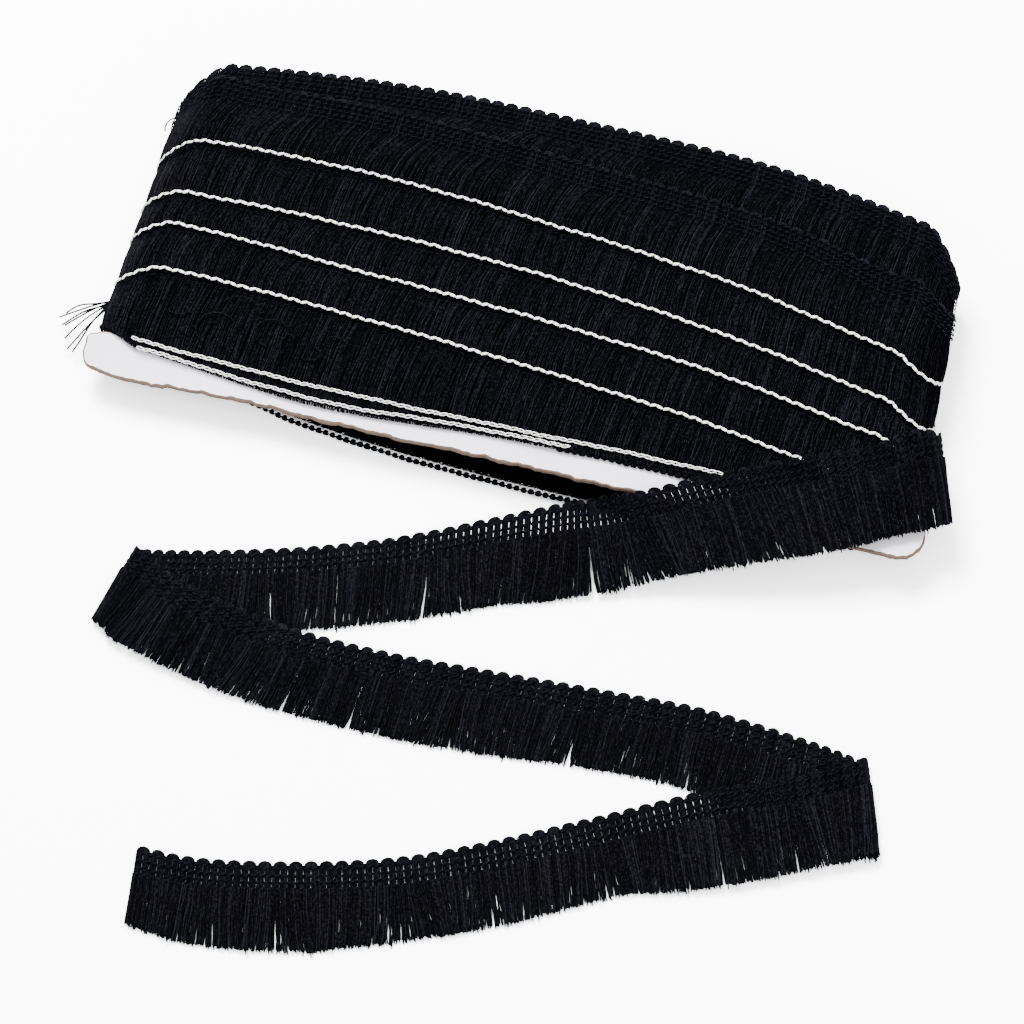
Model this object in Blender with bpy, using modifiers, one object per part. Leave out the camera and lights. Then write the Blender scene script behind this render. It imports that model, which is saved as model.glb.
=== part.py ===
"""Tassel fringe trim wound lengthwise on a card, with its free end laid out in a zigzag.

The trim is a scalloped heading braid with a cut thread fringe along one edge. The wound part is
one ring of shingled turns round the card, and each turn keeps its heading to the back (+Y) and
its fringe to the front (-Y). The free end leaves the winding over its front right corner, comes
down to the surface and is folded back twice. Sizes in the tables are millimetres. The origin is
on the winding's flat underside, +X runs along the card and +Z is up.
"""

import math
from typing import NamedTuple

import bpy
from mathutils import Vector

MM = 0.001
GAP = 0.3
SEAM_GAP = 0.6
EDGE_CLEARANCE = 2.0

CARD_BOTTOM = 11.2
CARD_TOP = 12.8
CARD_MIDDLE = (CARD_BOTTOM + CARD_TOP) / 2

NOTCH_Y = -48.5
LEFT_END = -142.6
END_RADIUS = 13.0
SLOT_HALF_LENGTH = 131.7
TOP_SPANS = 9
END_ANGLES = (30, 60, 90, 120, 150)
BACK_EDGE_ROUND = 3.0
BACK_EDGE_SLOPE = 0.6
EDGE_LEAN = 0.5
NOTCH_ANGLES = (45, 135)
SLOT_ROUND_ANGLES = (75, 105)

HEADING_WIDTH = 10.0
SHEET_THICKNESS = 1.6
FRINGE_ROOT = 14.0
TOOTH_PITCH = 8.0
TOOTH_GAP = 1.0
FRINGE_UNEVENNESS = 1.2
UNEVEN_FAST = 1.7
UNEVEN_SLOW = 0.31
STEPS_PER_RULING = 24
DRAPE_CLEARANCE = 0.8
STEP_REACH = 2.5
FOLD_RADIUS = 1.1
FOLD_SPANS = 4


class CardCorner(NamedTuple):
    """A point of the card's outline: its place, from the front left corner round to the back."""

    x: float
    y: float


class Flange(NamedTuple):
    """The ground that the card's front flange takes up, with the clearance kept round it."""

    left: float
    right: float
    front: float
    back: float


class Turn(NamedTuple):
    """One turn's front edge. It gives Y at seven places along X, and heights before and on it."""

    name: str
    left_end: float
    left: float
    middle_left: float
    middle: float
    middle_right: float
    right: float
    right_end: float
    right_end_x: float
    foot_z: float
    edge_z: float
    underside_share: float


class Ruling(NamedTuple):
    """A line across the trim: its scalloped edge, its thread ends, and their underside heights."""

    edge_x: float
    edge_y: float
    edge_z: float
    tip_x: float
    tip_y: float
    tip_z: float


CARD_OUTLINE = (
    CardCorner(-145.4, -55.0),
    CardCorner(-144.0, -61.0),
    CardCorner(-138.5, -64.0),
    CardCorner(-120.0, -64.6),
    CardCorner(-86.0, -62.9),
    CardCorner(-40.0, -63.5),
    CardCorner(20.0, -62.9),
    CardCorner(76.0, -64.0),
    CardCorner(124.0, -64.8),
    CardCorner(137.0, -65.2),
    CardCorner(142.6, -62.8),
    CardCorner(144.6, -57.0),
    CardCorner(143.2, -50.6),
    CardCorner(139.0, -48.5),
    CardCorner(131.4, -48.5),
    CardCorner(131.4, 32.0),
    CardCorner(118.0, 49.0),
    CardCorner(-118.0, 58.0),
    CardCorner(-131.4, 44.0),
    CardCorner(-131.4, -48.5),
    CardCorner(-140.0, -48.5),
    CardCorner(-144.6, -50.2),
)

FLANGE = Flange(
    min(corner.x for corner in CARD_OUTLINE) - EDGE_CLEARANCE,
    max(corner.x for corner in CARD_OUTLINE) + EDGE_CLEARANCE,
    min(corner.y for corner in CARD_OUTLINE) - EDGE_CLEARANCE,
    NOTCH_Y,
)

TURN_PLACES = (LEFT_END, -128.0, -64.0, 0.0, 64.0, 122.0)

TURNS = (
    Turn("front", -47.6, -52.8, -59.0, -55.2, -53.4, -52.4, -47.6, 139.0, 13.1, 14.6, 0.00),
    Turn("fifth", -46.6, -51.4, -54.2, -53.4, -51.8, -50.4, -46.6, 139.0, 14.8, 15.8, 0.03),
    Turn("fourth", -30.0, -23.2, -24.8, -29.0, -35.0, -44.0, -45.6, 139.0, 18.3, 19.9, 0.20),
    Turn("third", -12.0, -6.4, -8.8, -11.8, -17.2, -27.0, -33.0, 139.0, 21.3, 22.8, 0.38),
    Turn("second", 0.0, 5.2, 6.4, 3.8, -3.4, -14.4, -24.6, 138.8, 24.0, 25.4, 0.52),
    Turn("first", 17.0, 25.6, 27.0, 22.6, 15.2, 2.8, -7.0, 137.6, 26.5, 28.1, 0.72),
    Turn("back", 47.0, 59.5, 67.2, 68.2, 66.6, 56.5, 43.0, 135.6, 28.4, 28.2, 1.00),
)

UNDERSIDE_FRONT = Turn(
    "underside front", -47.6, -47.4, -59.8, -64.4, -63.6, -58.0, -47.6, 139.0, 0.0, 2.4, 0.0
)

STRIP_ONE = (
    Ruling(140.8, -17.4, 12.0, 147.6, -46.6, 13.2),
    Ruling(139.9, -17.6, 17.6, 151.8, -49.5, 15.2),
    Ruling(123.2, -30.5, 22.2, 138.6, -57.0, 15.0),
    Ruling(105.0, -38.5, 21.6, 121.3, -67.0, 15.0),
    Ruling(86.8, -46.3, 18.4, 106.0, -73.6, 13.2),
    Ruling(68.6, -55.0, 17.2, 87.4, -80.6, 10.8),
    Ruling(50.6, -64.3, 15.5, 69.0, -87.0, 6.0),
    Ruling(38.0, -68.6, 12.5, 51.0, -95.0, 2.0),
    Ruling(26.0, -72.2, 9.5, 33.0, -102.5, 0.0),
    Ruling(7.4, -79.2, 4.4, 14.0, -109.5, 0.0),
    Ruling(-11.4, -87.7, 1.6, -4.0, -118.3, 0.0),
    Ruling(-29.8, -95.9, 0.0, -22.0, -126.3, 0.0),
    Ruling(-54.6, -105.6, 0.0, -47.5, -135.6, 0.0),
    Ruling(-80.0, -113.6, 0.0, -74.5, -145.0, 0.0),
    Ruling(-98.0, -118.4, 0.0, -97.5, -150.5, 0.0),
    Ruling(-106.2, -120.1, 0.0, -111.4, -150.3, 0.0),
)

STRIP_TWO = (
    Ruling(-106.2, -120.1, 2.2, -111.4, -150.3, 2.2),
    Ruling(-95.0, -126.6, 2.2, -103.5, -155.6, 2.2),
    Ruling(-82.0, -130.6, 2.2, -89.0, -159.3, 2.2),
    Ruling(-63.9, -134.4, 2.2, -69.0, -163.3, 1.2),
    Ruling(-42.8, -136.6, 1.8, -46.0, -165.5, 0.0),
    Ruling(-12.1, -135.8, 0.0, -13.5, -165.8, 0.0),
    Ruling(21.1, -133.5, 0.0, 19.5, -163.8, 0.0),
    Ruling(54.3, -131.2, 0.0, 53.0, -160.1, 0.0),
    Ruling(87.6, -129.4, 0.0, 86.5, -158.6, 0.0),
    Ruling(121.1, -131.5, 0.0, 121.5, -162.0, 0.0),
    Ruling(142.4, -134.5, 0.0, 153.2, -167.0, 0.0),
)

STRIP_THREE = (
    Ruling(142.4, -134.5, 2.2, 153.2, -167.0, 2.2),
    Ruling(123.8, -145.6, 2.2, 136.5, -176.0, 2.2),
    Ruling(94.3, -159.8, 2.2, 107.5, -189.9, 1.4),
    Ruling(65.4, -175.3, 0.0, 78.0, -200.9, 0.0),
    Ruling(36.9, -191.3, 0.0, 48.5, -218.0, 0.0),
    Ruling(7.9, -205.6, 0.0, 17.5, -232.5, 0.0),
    Ruling(-22.0, -215.4, 0.0, -14.0, -245.0, 0.0),
    Ruling(-53.0, -222.4, 0.0, -47.0, -251.1, 0.0),
    Ruling(-74.0, -223.4, 0.0, -69.5, -250.0, 0.0),
)


def clear_scene():
    """Removes whatever the scene holds."""
    for obj in list(bpy.data.objects):
        bpy.data.objects.remove(obj)


def finish(name, colour, roughness):
    """Returns a plain material."""
    material = bpy.data.materials.new(name)
    material.use_nodes = True
    shader = material.node_tree.nodes["Principled BSDF"]
    shader.inputs["Base Color"].default_value = (*colour, 1.0)
    shader.inputs["Roughness"].default_value = roughness
    shader.inputs["Metallic"].default_value = 0.0
    return material


def smooth_between(before, start, end, after, share):
    """Returns the Catmull-Rom value between start and end."""
    return 0.5 * (
        2 * start
        + (end - before) * share
        + (2 * before - 5 * start + 4 * end - after) * share**2
        + (3 * start - before - 3 * end + after) * share**3
    )


def along_table(places, values, place):
    """Returns the value at a place, on a smooth curve through the table's values."""
    last = len(places) - 1
    span = next((i for i in range(last) if place <= places[i + 1]), last - 1)
    share = (place - places[span]) / (places[span + 1] - places[span])
    share = min(max(share, 0.0), 1.0)
    return smooth_between(
        values[max(span - 1, 0)],
        values[span],
        values[span + 1],
        values[min(span + 2, last)],
        share,
    )


def turn_y(turn, x):
    """Returns the Y of a turn's front edge at this X."""
    return along_table((*TURN_PLACES, turn.right_end_x), turn[1:8], x)


def end_share(turn, x):
    """Returns how far the winding's round end brings its height at x down: 1 is not at all."""
    past = max(x - (turn.right_end_x - END_RADIUS), LEFT_END + END_RADIUS - x, 0.0)
    return math.sqrt(max(1 - (past / END_RADIUS) ** 2, 0.0))


def lowered(z, share):
    """Returns a height with its distance from the card's middle cut to this share."""
    return CARD_MIDDLE + (z - CARD_MIDDLE) * share


def winding_top(x, y):
    """Returns the height of the winding's top at this place, or None past its edges."""
    if not LEFT_END <= x <= TURNS[0].right_end_x or y < turn_y(TURNS[0], x):
        return None
    for turn, behind in zip(TURNS, TURNS[1:]):
        start, end = turn_y(turn, x), turn_y(behind, x)
        if start <= y <= end:
            share = (y - start) / max(end - start, 1e-6)
            z = turn.edge_z + (behind.foot_z - turn.edge_z) * share
            return lowered(z, end_share(turn, x))
    return None


def held_up_to(x, y):
    """Returns the height that trim laid over the winding, the card and the surface keeps above."""
    heights = [0.0]
    for reach in (-STEP_REACH, 0.0, STEP_REACH):
        top = winding_top(x, y + reach)
        if top is not None:
            heights.append(top + DRAPE_CLEARANCE)
    if FLANGE.left < x < FLANGE.right and FLANGE.front < y < FLANGE.back:
        heights.append(CARD_TOP + EDGE_CLEARANCE)
    return max(heights)


def ring_sections():
    """Returns the winding's sections, each a closed run of points, in order round the card.

    A section runs from the slot's front, out over the turns' edges to the back, and in again.
    """
    flat_start, share_step = LEFT_END + END_RADIUS, 1 / TOP_SPANS
    shares = [i * share_step for i in range(TOP_SPANS + 1)]
    sections = [ring_section(flat_start, share, 0, 1) for share in shares]
    sections += [ring_section(flat_start, 1.0, angle, 1) for angle in END_ANGLES]
    sections += [ring_section(flat_start, share, 180, 1) for share in reversed(shares)]
    sections += [ring_section(flat_start, 0.0, angle, -1) for angle in reversed(END_ANGLES)]
    return sections


def ring_section(flat_start, share, angle, side):
    """Returns one section: at a share of the flat length, at an angle round an end."""
    under = angle > 90
    out = math.sin(math.radians(angle)) * side
    rise = math.cos(math.radians(angle))
    behind_notch = NOTCH_ANGLES[0] < angle < NOTCH_ANGLES[1]
    points = []
    for turn in TURNS:
        flat_end = turn.right_end_x - END_RADIUS
        x = flat_start + (flat_end - flat_start) * share + END_RADIUS * out
        top_y = turn_y(turn, x)
        back_y = turn_y(TURNS[-1], x)
        front_y = turn_y(UNDERSIDE_FRONT, x)
        under_y = front_y + (back_y - front_y) * turn.underside_share
        y = top_y + (under_y - top_y) * (1 - rise) / 2
        if behind_notch:
            y = max(y, turn.left_end if turn.name in ("front", "fifth") else y)
        if turn.name == "front":
            slot_x = min(max(x, -SLOT_HALF_LENGTH), SLOT_HALF_LENGTH)
            slot_z = CARD_MIDDLE
            if not SLOT_ROUND_ANGLES[0] <= angle <= SLOT_ROUND_ANGLES[1]:
                slot_z = CARD_BOTTOM - GAP if under else CARD_TOP + GAP
            slot_y = max(y, top_y) if under else y
            points.append(Vector((slot_x, slot_y, slot_z)))
        if under:
            edge_z = UNDERSIDE_FRONT.edge_z if turn.name == "front" else 0.0
            heights = [-(CARD_MIDDLE - edge_z)] * (1 if turn.name == "front" else 2)
        else:
            heights = [turn.foot_z - CARD_MIDDLE, turn.edge_z - CARD_MIDDLE]
            heights = heights[1:] if turn.name == "front" else heights
        if turn.name == "back":
            heights = heights[:1]
        for step, height in enumerate(heights):
            lean = EDGE_LEAN * step if turn.name != "back" else 0.0
            points.append(Vector((x, y + lean, CARD_MIDDLE + height * abs(rise))))
    back = points[-1]
    inset = BACK_EDGE_ROUND * rise
    points[-1] = Vector((back.x, back.y - abs(inset) * BACK_EDGE_SLOPE, back.z))
    points.append(Vector((back.x, back.y, back.z - inset)))
    slot_back = Vector((points[0].x, back.y, points[0].z))
    points.append(slot_back)
    return points


def wound_mesh():
    """Returns the winding's mesh: a ring lofted through its sections, closed both ways."""
    sections = ring_sections()
    count = len(sections[0])
    vertices = [point * MM for section in sections for point in section]
    faces = []
    for i in range(len(sections)):
        here, there = i * count, (i + 1) % len(sections) * count
        for j in range(count):
            k = (j + 1) % count
            faces.append((here + j, there + j, there + k, here + k))
    mesh = bpy.data.meshes.new("wound_trim")
    mesh.from_pydata(vertices, [], faces)
    return mesh


def between_rulings(strip, place):
    """Returns the trim's edge and tip at a place along a strip, 1.0 for each ruling."""
    last = len(strip) - 1
    span = min(int(place), last - 1)
    share = place - span
    before, start = strip[max(span - 1, 0)], strip[span]
    end, after = strip[span + 1], strip[min(span + 2, last)]
    columns = [smooth_between(*column, share) for column in zip(before, start, end, after)]
    edge, tip = Vector(columns[:3]), Vector(columns[3:])
    edge.z = start.edge_z + (end.edge_z - start.edge_z) * share + SHEET_THICKNESS / 2
    tip.z = start.tip_z + (end.tip_z - start.tip_z) * share + SHEET_THICKNESS / 2
    return edge, tip


def strip_lines(strip):
    """Returns (edge, tip, is_tooth) lines down a strip, a pair for each tooth of the fringe."""
    count = (len(strip) - 1) * STEPS_PER_RULING
    places = [i / STEPS_PER_RULING for i in range(count + 1)]
    reached, lengths = 0.0, [0.0]
    middles = [sum(between_rulings(strip, place), Vector()) / 2 for place in places]
    for start, end in zip(middles, middles[1:]):
        reached += (end - start).length
        lengths.append(reached)
    teeth = round(reached / TOOTH_PITCH)
    pitch = reached / teeth
    lines = []
    for tooth in range(teeth):
        for offset, is_tooth in ((0.0, True), (pitch - TOOTH_GAP, False)):
            place = along_lengths(lengths, places, tooth * pitch + offset)
            lines.append((*between_rulings(strip, place), is_tooth or tooth == teeth - 1))
    lines.append((*between_rulings(strip, places[-1]), True))
    return lines


def along_lengths(lengths, places, wanted):
    """Returns the place whose length from the strip's start is the wanted one."""
    span = next(i for i in range(len(lengths)) if i == len(lengths) - 2 or lengths[i + 1] >= wanted)
    share = (wanted - lengths[span]) / (lengths[span + 1] - lengths[span])
    return places[span] + (places[span + 1] - places[span]) * share


def fold_lines(ruling, outward):
    """Returns the lines of a fold: half a turn about the ruling, up onto the next layer."""
    edge = Vector(ruling[:3])
    tip = Vector(ruling[3:])
    along = tip - edge
    sideways = Vector((-along.y, along.x, 0.0)).normalized() * outward
    centre_rise = Vector((0.0, 0.0, SHEET_THICKNESS / 2 + FOLD_RADIUS))
    lines = []
    for i in range(1, FOLD_SPANS):
        angle = math.pi * i / FOLD_SPANS
        out = sideways * (FOLD_RADIUS * math.sin(angle))
        down = Vector((0.0, 0.0, FOLD_RADIUS * math.cos(angle)))
        shift = centre_rise + out - down
        lines.append((edge + shift, tip + shift, True))
    return lines


def tail_lines():
    """Returns the lines of the whole free end, from the winding to the cut end."""
    return (
        strip_lines(STRIP_ONE)
        + fold_lines(STRIP_ONE[-1], outward=-1)
        + strip_lines(STRIP_TWO)
        + fold_lines(STRIP_TWO[-1], outward=1)
        + strip_lines(STRIP_THREE)
    )


def across(edge, tip, distances):
    """Returns the points of one line at these distances from the scalloped edge."""
    along = (tip - edge).normalized()
    points = [edge + along * distance for distance in distances]
    for point in points:
        point.z = max(point.z, held_up_to(point.x, point.y) + SHEET_THICKNESS / 2)
    return points


def sheet_mesh(name, rows, has_cell):
    """Returns an open sheet through rows of points, without the cells that has_cell leaves out."""
    count = len(rows[0])
    vertices = [point * MM for row in rows for point in row]
    faces = []
    for i in range(len(rows) - 1):
        for j in range(count - 1):
            if has_cell(i, j):
                corner = i * count + j
                faces.append((corner, corner + 1, corner + count + 1, corner + count))
    mesh = bpy.data.meshes.new(name)
    mesh.from_pydata(vertices, [], faces)
    return mesh


def heading_mesh():
    """Returns the heading's middle surface."""
    distances = (0.0, HEADING_WIDTH / 2, HEADING_WIDTH)
    rows = [across(edge, tip, distances) for edge, tip, _ in tail_lines()]
    return sheet_mesh("tail_heading", rows, lambda i, j: True)


def fringe_mesh():
    """Returns the fringe's middle surface: a band with a row of teeth, their tips uneven."""
    lines = tail_lines()
    rows = []
    for i, (edge, tip, _) in enumerate(lines):
        uneven = FRINGE_UNEVENNESS * math.sin(UNEVEN_FAST * i) * math.sin(UNEVEN_SLOW * i)
        reach = (tip - edge).length + uneven
        start = HEADING_WIDTH + SEAM_GAP
        third = (reach - FRINGE_ROOT) / 3
        distances = (start, FRINGE_ROOT, FRINGE_ROOT + third, reach - third, reach)
        rows.append(across(edge, tip, distances))
    return sheet_mesh("tail_fringe", rows, lambda i, j: j == 0 or lines[i][2])


def add_object(collection, mesh, material):
    """Links a mesh to the collection as an object of its own name, with its material."""
    obj = bpy.data.objects.new(mesh.name, mesh)
    mesh.materials.append(material)
    collection.objects.link(obj)
    return obj


def thicken(obj):
    """Gives a sheet its thickness, half on each side."""
    solidify = obj.modifiers.new("thickness", "SOLIDIFY")
    solidify.thickness = SHEET_THICKNESS * MM
    solidify.offset = 0.0


def add_card(collection, material):
    """Adds the card: a flat outline of the card's thickness, notched where the trim is wound."""
    curve = bpy.data.curves.new("card", "CURVE")
    curve.dimensions = "2D"
    curve.fill_mode = "BOTH"
    curve.extrude = (CARD_TOP - CARD_BOTTOM) / 2 * MM
    spline = curve.splines.new("POLY")
    spline.points.add(len(CARD_OUTLINE) - 1)
    for point, corner in zip(spline.points, CARD_OUTLINE):
        point.co = (corner.x * MM, corner.y * MM, 0.0, 1.0)
    spline.use_cyclic_u = True
    curve.materials.append(material)
    card = bpy.data.objects.new("card", curve)
    card.location.z = CARD_MIDDLE * MM
    collection.objects.link(card)


def main():
    clear_scene()
    collection = bpy.data.collections.new("tassel_fringe_trim_on_card")
    bpy.context.scene.collection.children.link(collection)
    cardboard = finish("white faced card", (0.78, 0.76, 0.78), 0.75)
    yarn = finish("black yarn", (0.004, 0.004, 0.008), 0.7)
    braid = finish("black braid", (0.006, 0.006, 0.011), 0.75)
    add_card(collection, cardboard)
    add_object(collection, wound_mesh(), yarn)
    thicken(add_object(collection, heading_mesh(), braid))
    thicken(add_object(collection, fringe_mesh(), yarn))


main()
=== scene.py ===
"""Looks of a tassel fringe trim that is wound on a card, with its free end laid out in a zigzag.

The trim is worked from bundles of thin black yarn. Each bundle goes out across the trim, turns
round in a scallop at the heading's edge and comes back, and rows of stitches hold the bundles
together in the heading. In the winding a white chain stitch still holds the thread ends of each
turn, with the loops of the bundles showing as a row of small beads in front of it. On the free
end the chain is drawn out, the loops are cut and the threads hang loose as a fringe.

Sizes are millimetres until a mesh is made. The origin is on the winding's flat underside, +X runs
along the card, +Y is the side of the headings and +Z is up.
"""

import logging
import math
from collections.abc import Iterator
from dataclasses import dataclass, field
from enum import Enum

import bmesh
import bpy
import numpy as np
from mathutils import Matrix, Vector
from mathutils.geometry import delaunay_2d_cdt

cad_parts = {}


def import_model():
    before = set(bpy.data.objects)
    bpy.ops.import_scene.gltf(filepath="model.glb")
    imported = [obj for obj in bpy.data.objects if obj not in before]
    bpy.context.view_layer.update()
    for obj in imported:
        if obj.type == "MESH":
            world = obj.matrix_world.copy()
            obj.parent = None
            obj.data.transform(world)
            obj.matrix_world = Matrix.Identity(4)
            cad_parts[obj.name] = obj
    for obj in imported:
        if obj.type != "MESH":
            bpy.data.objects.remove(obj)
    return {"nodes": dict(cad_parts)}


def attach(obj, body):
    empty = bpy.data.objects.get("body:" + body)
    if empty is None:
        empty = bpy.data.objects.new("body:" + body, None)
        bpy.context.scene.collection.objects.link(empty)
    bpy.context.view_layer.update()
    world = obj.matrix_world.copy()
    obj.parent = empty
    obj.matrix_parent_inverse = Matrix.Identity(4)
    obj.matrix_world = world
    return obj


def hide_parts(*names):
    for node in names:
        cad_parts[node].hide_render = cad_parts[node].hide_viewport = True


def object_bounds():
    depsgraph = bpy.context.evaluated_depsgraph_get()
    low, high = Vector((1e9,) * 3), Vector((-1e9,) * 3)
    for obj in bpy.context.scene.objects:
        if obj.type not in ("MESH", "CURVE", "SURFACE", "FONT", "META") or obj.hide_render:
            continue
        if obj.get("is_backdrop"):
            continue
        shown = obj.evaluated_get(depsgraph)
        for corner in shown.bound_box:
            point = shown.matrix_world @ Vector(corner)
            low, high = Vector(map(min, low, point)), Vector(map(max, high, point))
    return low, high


LOG = logging.getLogger("tassel_fringe_trim")
MM = 0.001
BODY = "root"
Socket = bpy.types.NodeSocket
Point = tuple[float, float, float]


class Slot(Enum):
    """The record's material slots."""

    CARD = "card"
    YARN = "black_yarn"
    BRAID = "black_braid"
    CHAIN = "white_chain"


# ---------------------------------------------------------------------------------------------
# Node trees
# ---------------------------------------------------------------------------------------------


class NodeTree:
    """A node tree under construction."""

    tree: bpy.types.NodeTree

    def node(
        self, kind: str, inputs: dict[str | int, object] | None = None, **settings: object
    ) -> bpy.types.Node:
        """Adds a node.

        Args:
            kind: The node's type.
            inputs: What goes into its inputs, by name or place: a socket to link, or a value.
            settings: Its properties.

        Returns:
            The node.
        """
        node = self.tree.nodes.new(kind)
        for name, value in settings.items():
            setattr(node, name, value)
        for name, value in (inputs or {}).items():
            if isinstance(value, Socket):
                self.tree.links.new(value, node.inputs[name])
            else:
                node.inputs[name].default_value = value
        return node


class GeometryTree(NodeTree):
    """A Geometry Nodes tree under construction, with named inputs."""

    def __init__(self, name: str) -> None:
        """Starts a tree that takes and gives geometry.

        Args:
            name: The tree's name.
        """
        self.tree = bpy.data.node_groups.new(name, "GeometryNodeTree")
        self.identifiers: dict[str, str] = {}
        self.tree.interface.new_socket(
            name="Geometry", in_out="INPUT", socket_type="NodeSocketGeometry"
        )
        self.tree.interface.new_socket(
            name="Geometry", in_out="OUTPUT", socket_type="NodeSocketGeometry"
        )
        self.source = self.tree.nodes.new("NodeGroupInput")
        self.result = self.tree.nodes.new("NodeGroupOutput")

    def add_input(self, name: str, kind: str) -> None:
        """Adds a named input.

        Args:
            name: The input's name.
            kind: Its socket type, such as Float, Int, Object or Material.
        """
        socket = self.tree.interface.new_socket(
            name=name, in_out="INPUT", socket_type=f"NodeSocket{kind}"
        )
        self.identifiers[name] = socket.identifier

    def attribute(self, name: str, kind: str) -> Socket:
        """Returns the output that reads a named attribute.

        Args:
            name: The attribute's name.
            kind: Its data type.
        """
        return self.node(
            "GeometryNodeInputNamedAttribute", {"Name": name}, data_type=kind
        ).outputs["Attribute"]

    def finish(self, geometry: Socket) -> None:
        """Ends the tree in Realize Instances and Set Material.

        Args:
            geometry: What the tree made.
        """
        real = self.node("GeometryNodeRealizeInstances", {"Geometry": geometry})
        dressed = self.node(
            "GeometryNodeSetMaterial",
            {"Geometry": real.outputs["Geometry"], "Material": self.source.outputs["Material"]},
        )
        self.tree.links.new(dressed.outputs["Geometry"], self.result.inputs["Geometry"])

    def apply(self, obj: bpy.types.Object, values: dict[str, object]) -> bpy.types.Object:
        """Runs the tree on an object and keeps the result as its plain mesh.

        Args:
            obj: The object, linked to the scene.
            values: The inputs' values by name.

        Returns:
            The same object.
        """
        modifier = obj.modifiers.new(self.tree.name, "NODES")
        modifier.node_group = self.tree
        for name, value in values.items():
            modifier[self.identifiers[name]] = value
        return plain(obj)


def plain(obj: bpy.types.Object) -> bpy.types.Object:
    """Puts the mesh that an object's modifiers make in their place.

    Args:
        obj: The object.

    Returns:
        The same object.
    """
    graph = bpy.context.evaluated_depsgraph_get()
    mesh = bpy.data.meshes.new_from_object(
        obj.evaluated_get(graph), preserve_all_data_layers=True, depsgraph=graph
    )
    mesh.name = obj.name
    obj.modifiers.clear()
    obj.data = mesh
    return obj


def linked(name: str, mesh: bpy.types.Mesh) -> bpy.types.Object:
    """Returns a new object that shows a mesh in the scene.

    Args:
        name: The object's name.
        mesh: The mesh.
    """
    obj = bpy.data.objects.new(name, mesh)
    bpy.context.scene.collection.objects.link(obj)
    return obj


def strand_tree() -> GeometryTree:
    """Builds the tree that turns runs of points into threads.

    Returns:
        The tree, with the inputs Radius, Sides and Material.
    """
    tree = GeometryTree("threads")
    tree.add_input("Radius", "Float")
    tree.add_input("Sides", "Int")
    tree.add_input("Material", "Material")
    given = tree.source.outputs
    curve = tree.node("GeometryNodeMeshToCurve", {"Mesh": given["Geometry"]})
    profile = tree.node(
        "GeometryNodeCurvePrimitiveCircle",
        {"Resolution": given["Sides"], "Radius": given["Radius"]},
        mode="RADIUS",
    )
    tube = tree.node(
        "GeometryNodeCurveToMesh",
        {
            "Curve": curve.outputs["Curve"],
            "Profile Curve": profile.outputs["Curve"],
            "Fill Caps": True,
        },
    )
    smooth = tree.node("GeometryNodeSetShadeSmooth", {"Geometry": tube.outputs["Mesh"]})
    tree.finish(smooth.outputs["Geometry"])
    return tree


def stitch_tree() -> GeometryTree:
    """Builds the tree that sets one shape down again and again along lines.

    Returns:
        The tree, with the inputs Shape, Pitch, Tilt, Uneven, Seed and Material.
    """
    tree = GeometryTree("stitches")
    tree.add_input("Shape", "Object")
    tree.add_input("Pitch", "Float")
    tree.add_input("Tilt", "Float")
    tree.add_input("Uneven", "Float")
    tree.add_input("Seed", "Int")
    tree.add_input("Material", "Material")
    given = tree.source.outputs
    curve = tree.node("GeometryNodeMeshToCurve", {"Mesh": given["Geometry"]})
    even = tree.node(
        "GeometryNodeResampleCurve",
        {"Curve": curve.outputs["Curve"], "Length": given["Pitch"]},
        mode="LENGTH",
    )
    turn = tree.node(
        "FunctionNodeAxesToRotation",
        {
            "Primary Axis": tree.node("GeometryNodeInputTangent").outputs["Tangent"],
            "Secondary Axis": tree.attribute("up", "FLOAT_VECTOR"),
        },
        primary_axis="X",
        secondary_axis="Z",
    )
    index = tree.node("GeometryNodeInputIndex").outputs["Index"]
    parity = tree.node("ShaderNodeMath", {0: index, 1: 2.0}, operation="MODULO")
    side = tree.node(
        "ShaderNodeMath", {0: parity.outputs[0], 1: 2.0, 2: -1.0}, operation="MULTIPLY_ADD"
    )
    angle = tree.node(
        "ShaderNodeMath", {0: side.outputs[0], 1: given["Tilt"]}, operation="MULTIPLY"
    )
    tilt = tree.node("ShaderNodeCombineXYZ", {"Z": angle.outputs[0]})
    low = tree.node("ShaderNodeMath", {0: 1.0, 1: given["Uneven"]}, operation="SUBTRACT")
    high = tree.node("ShaderNodeMath", {0: 1.0, 1: given["Uneven"]}, operation="ADD")
    size = tree.node(
        "FunctionNodeRandomValue",
        {"Min": low.outputs[0], "Max": high.outputs[0], "Seed": given["Seed"]},
        data_type="FLOAT",
    )
    random_size = next(s for s in size.outputs if s.enabled)
    shape = tree.node("GeometryNodeObjectInfo", {"Object": given["Shape"]})
    placed = tree.node(
        "GeometryNodeInstanceOnPoints",
        {
            "Points": even.outputs["Curve"],
            "Instance": shape.outputs["Geometry"],
            "Rotation": turn.outputs["Rotation"],
            "Scale": random_size,
        },
    )
    tilted = tree.node(
        "GeometryNodeRotateInstances",
        {
            "Instances": placed.outputs["Instances"],
            "Rotation": tilt.outputs["Vector"],
            "Local Space": True,
        },
    )
    tree.finish(tilted.outputs["Instances"])
    return tree


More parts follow.
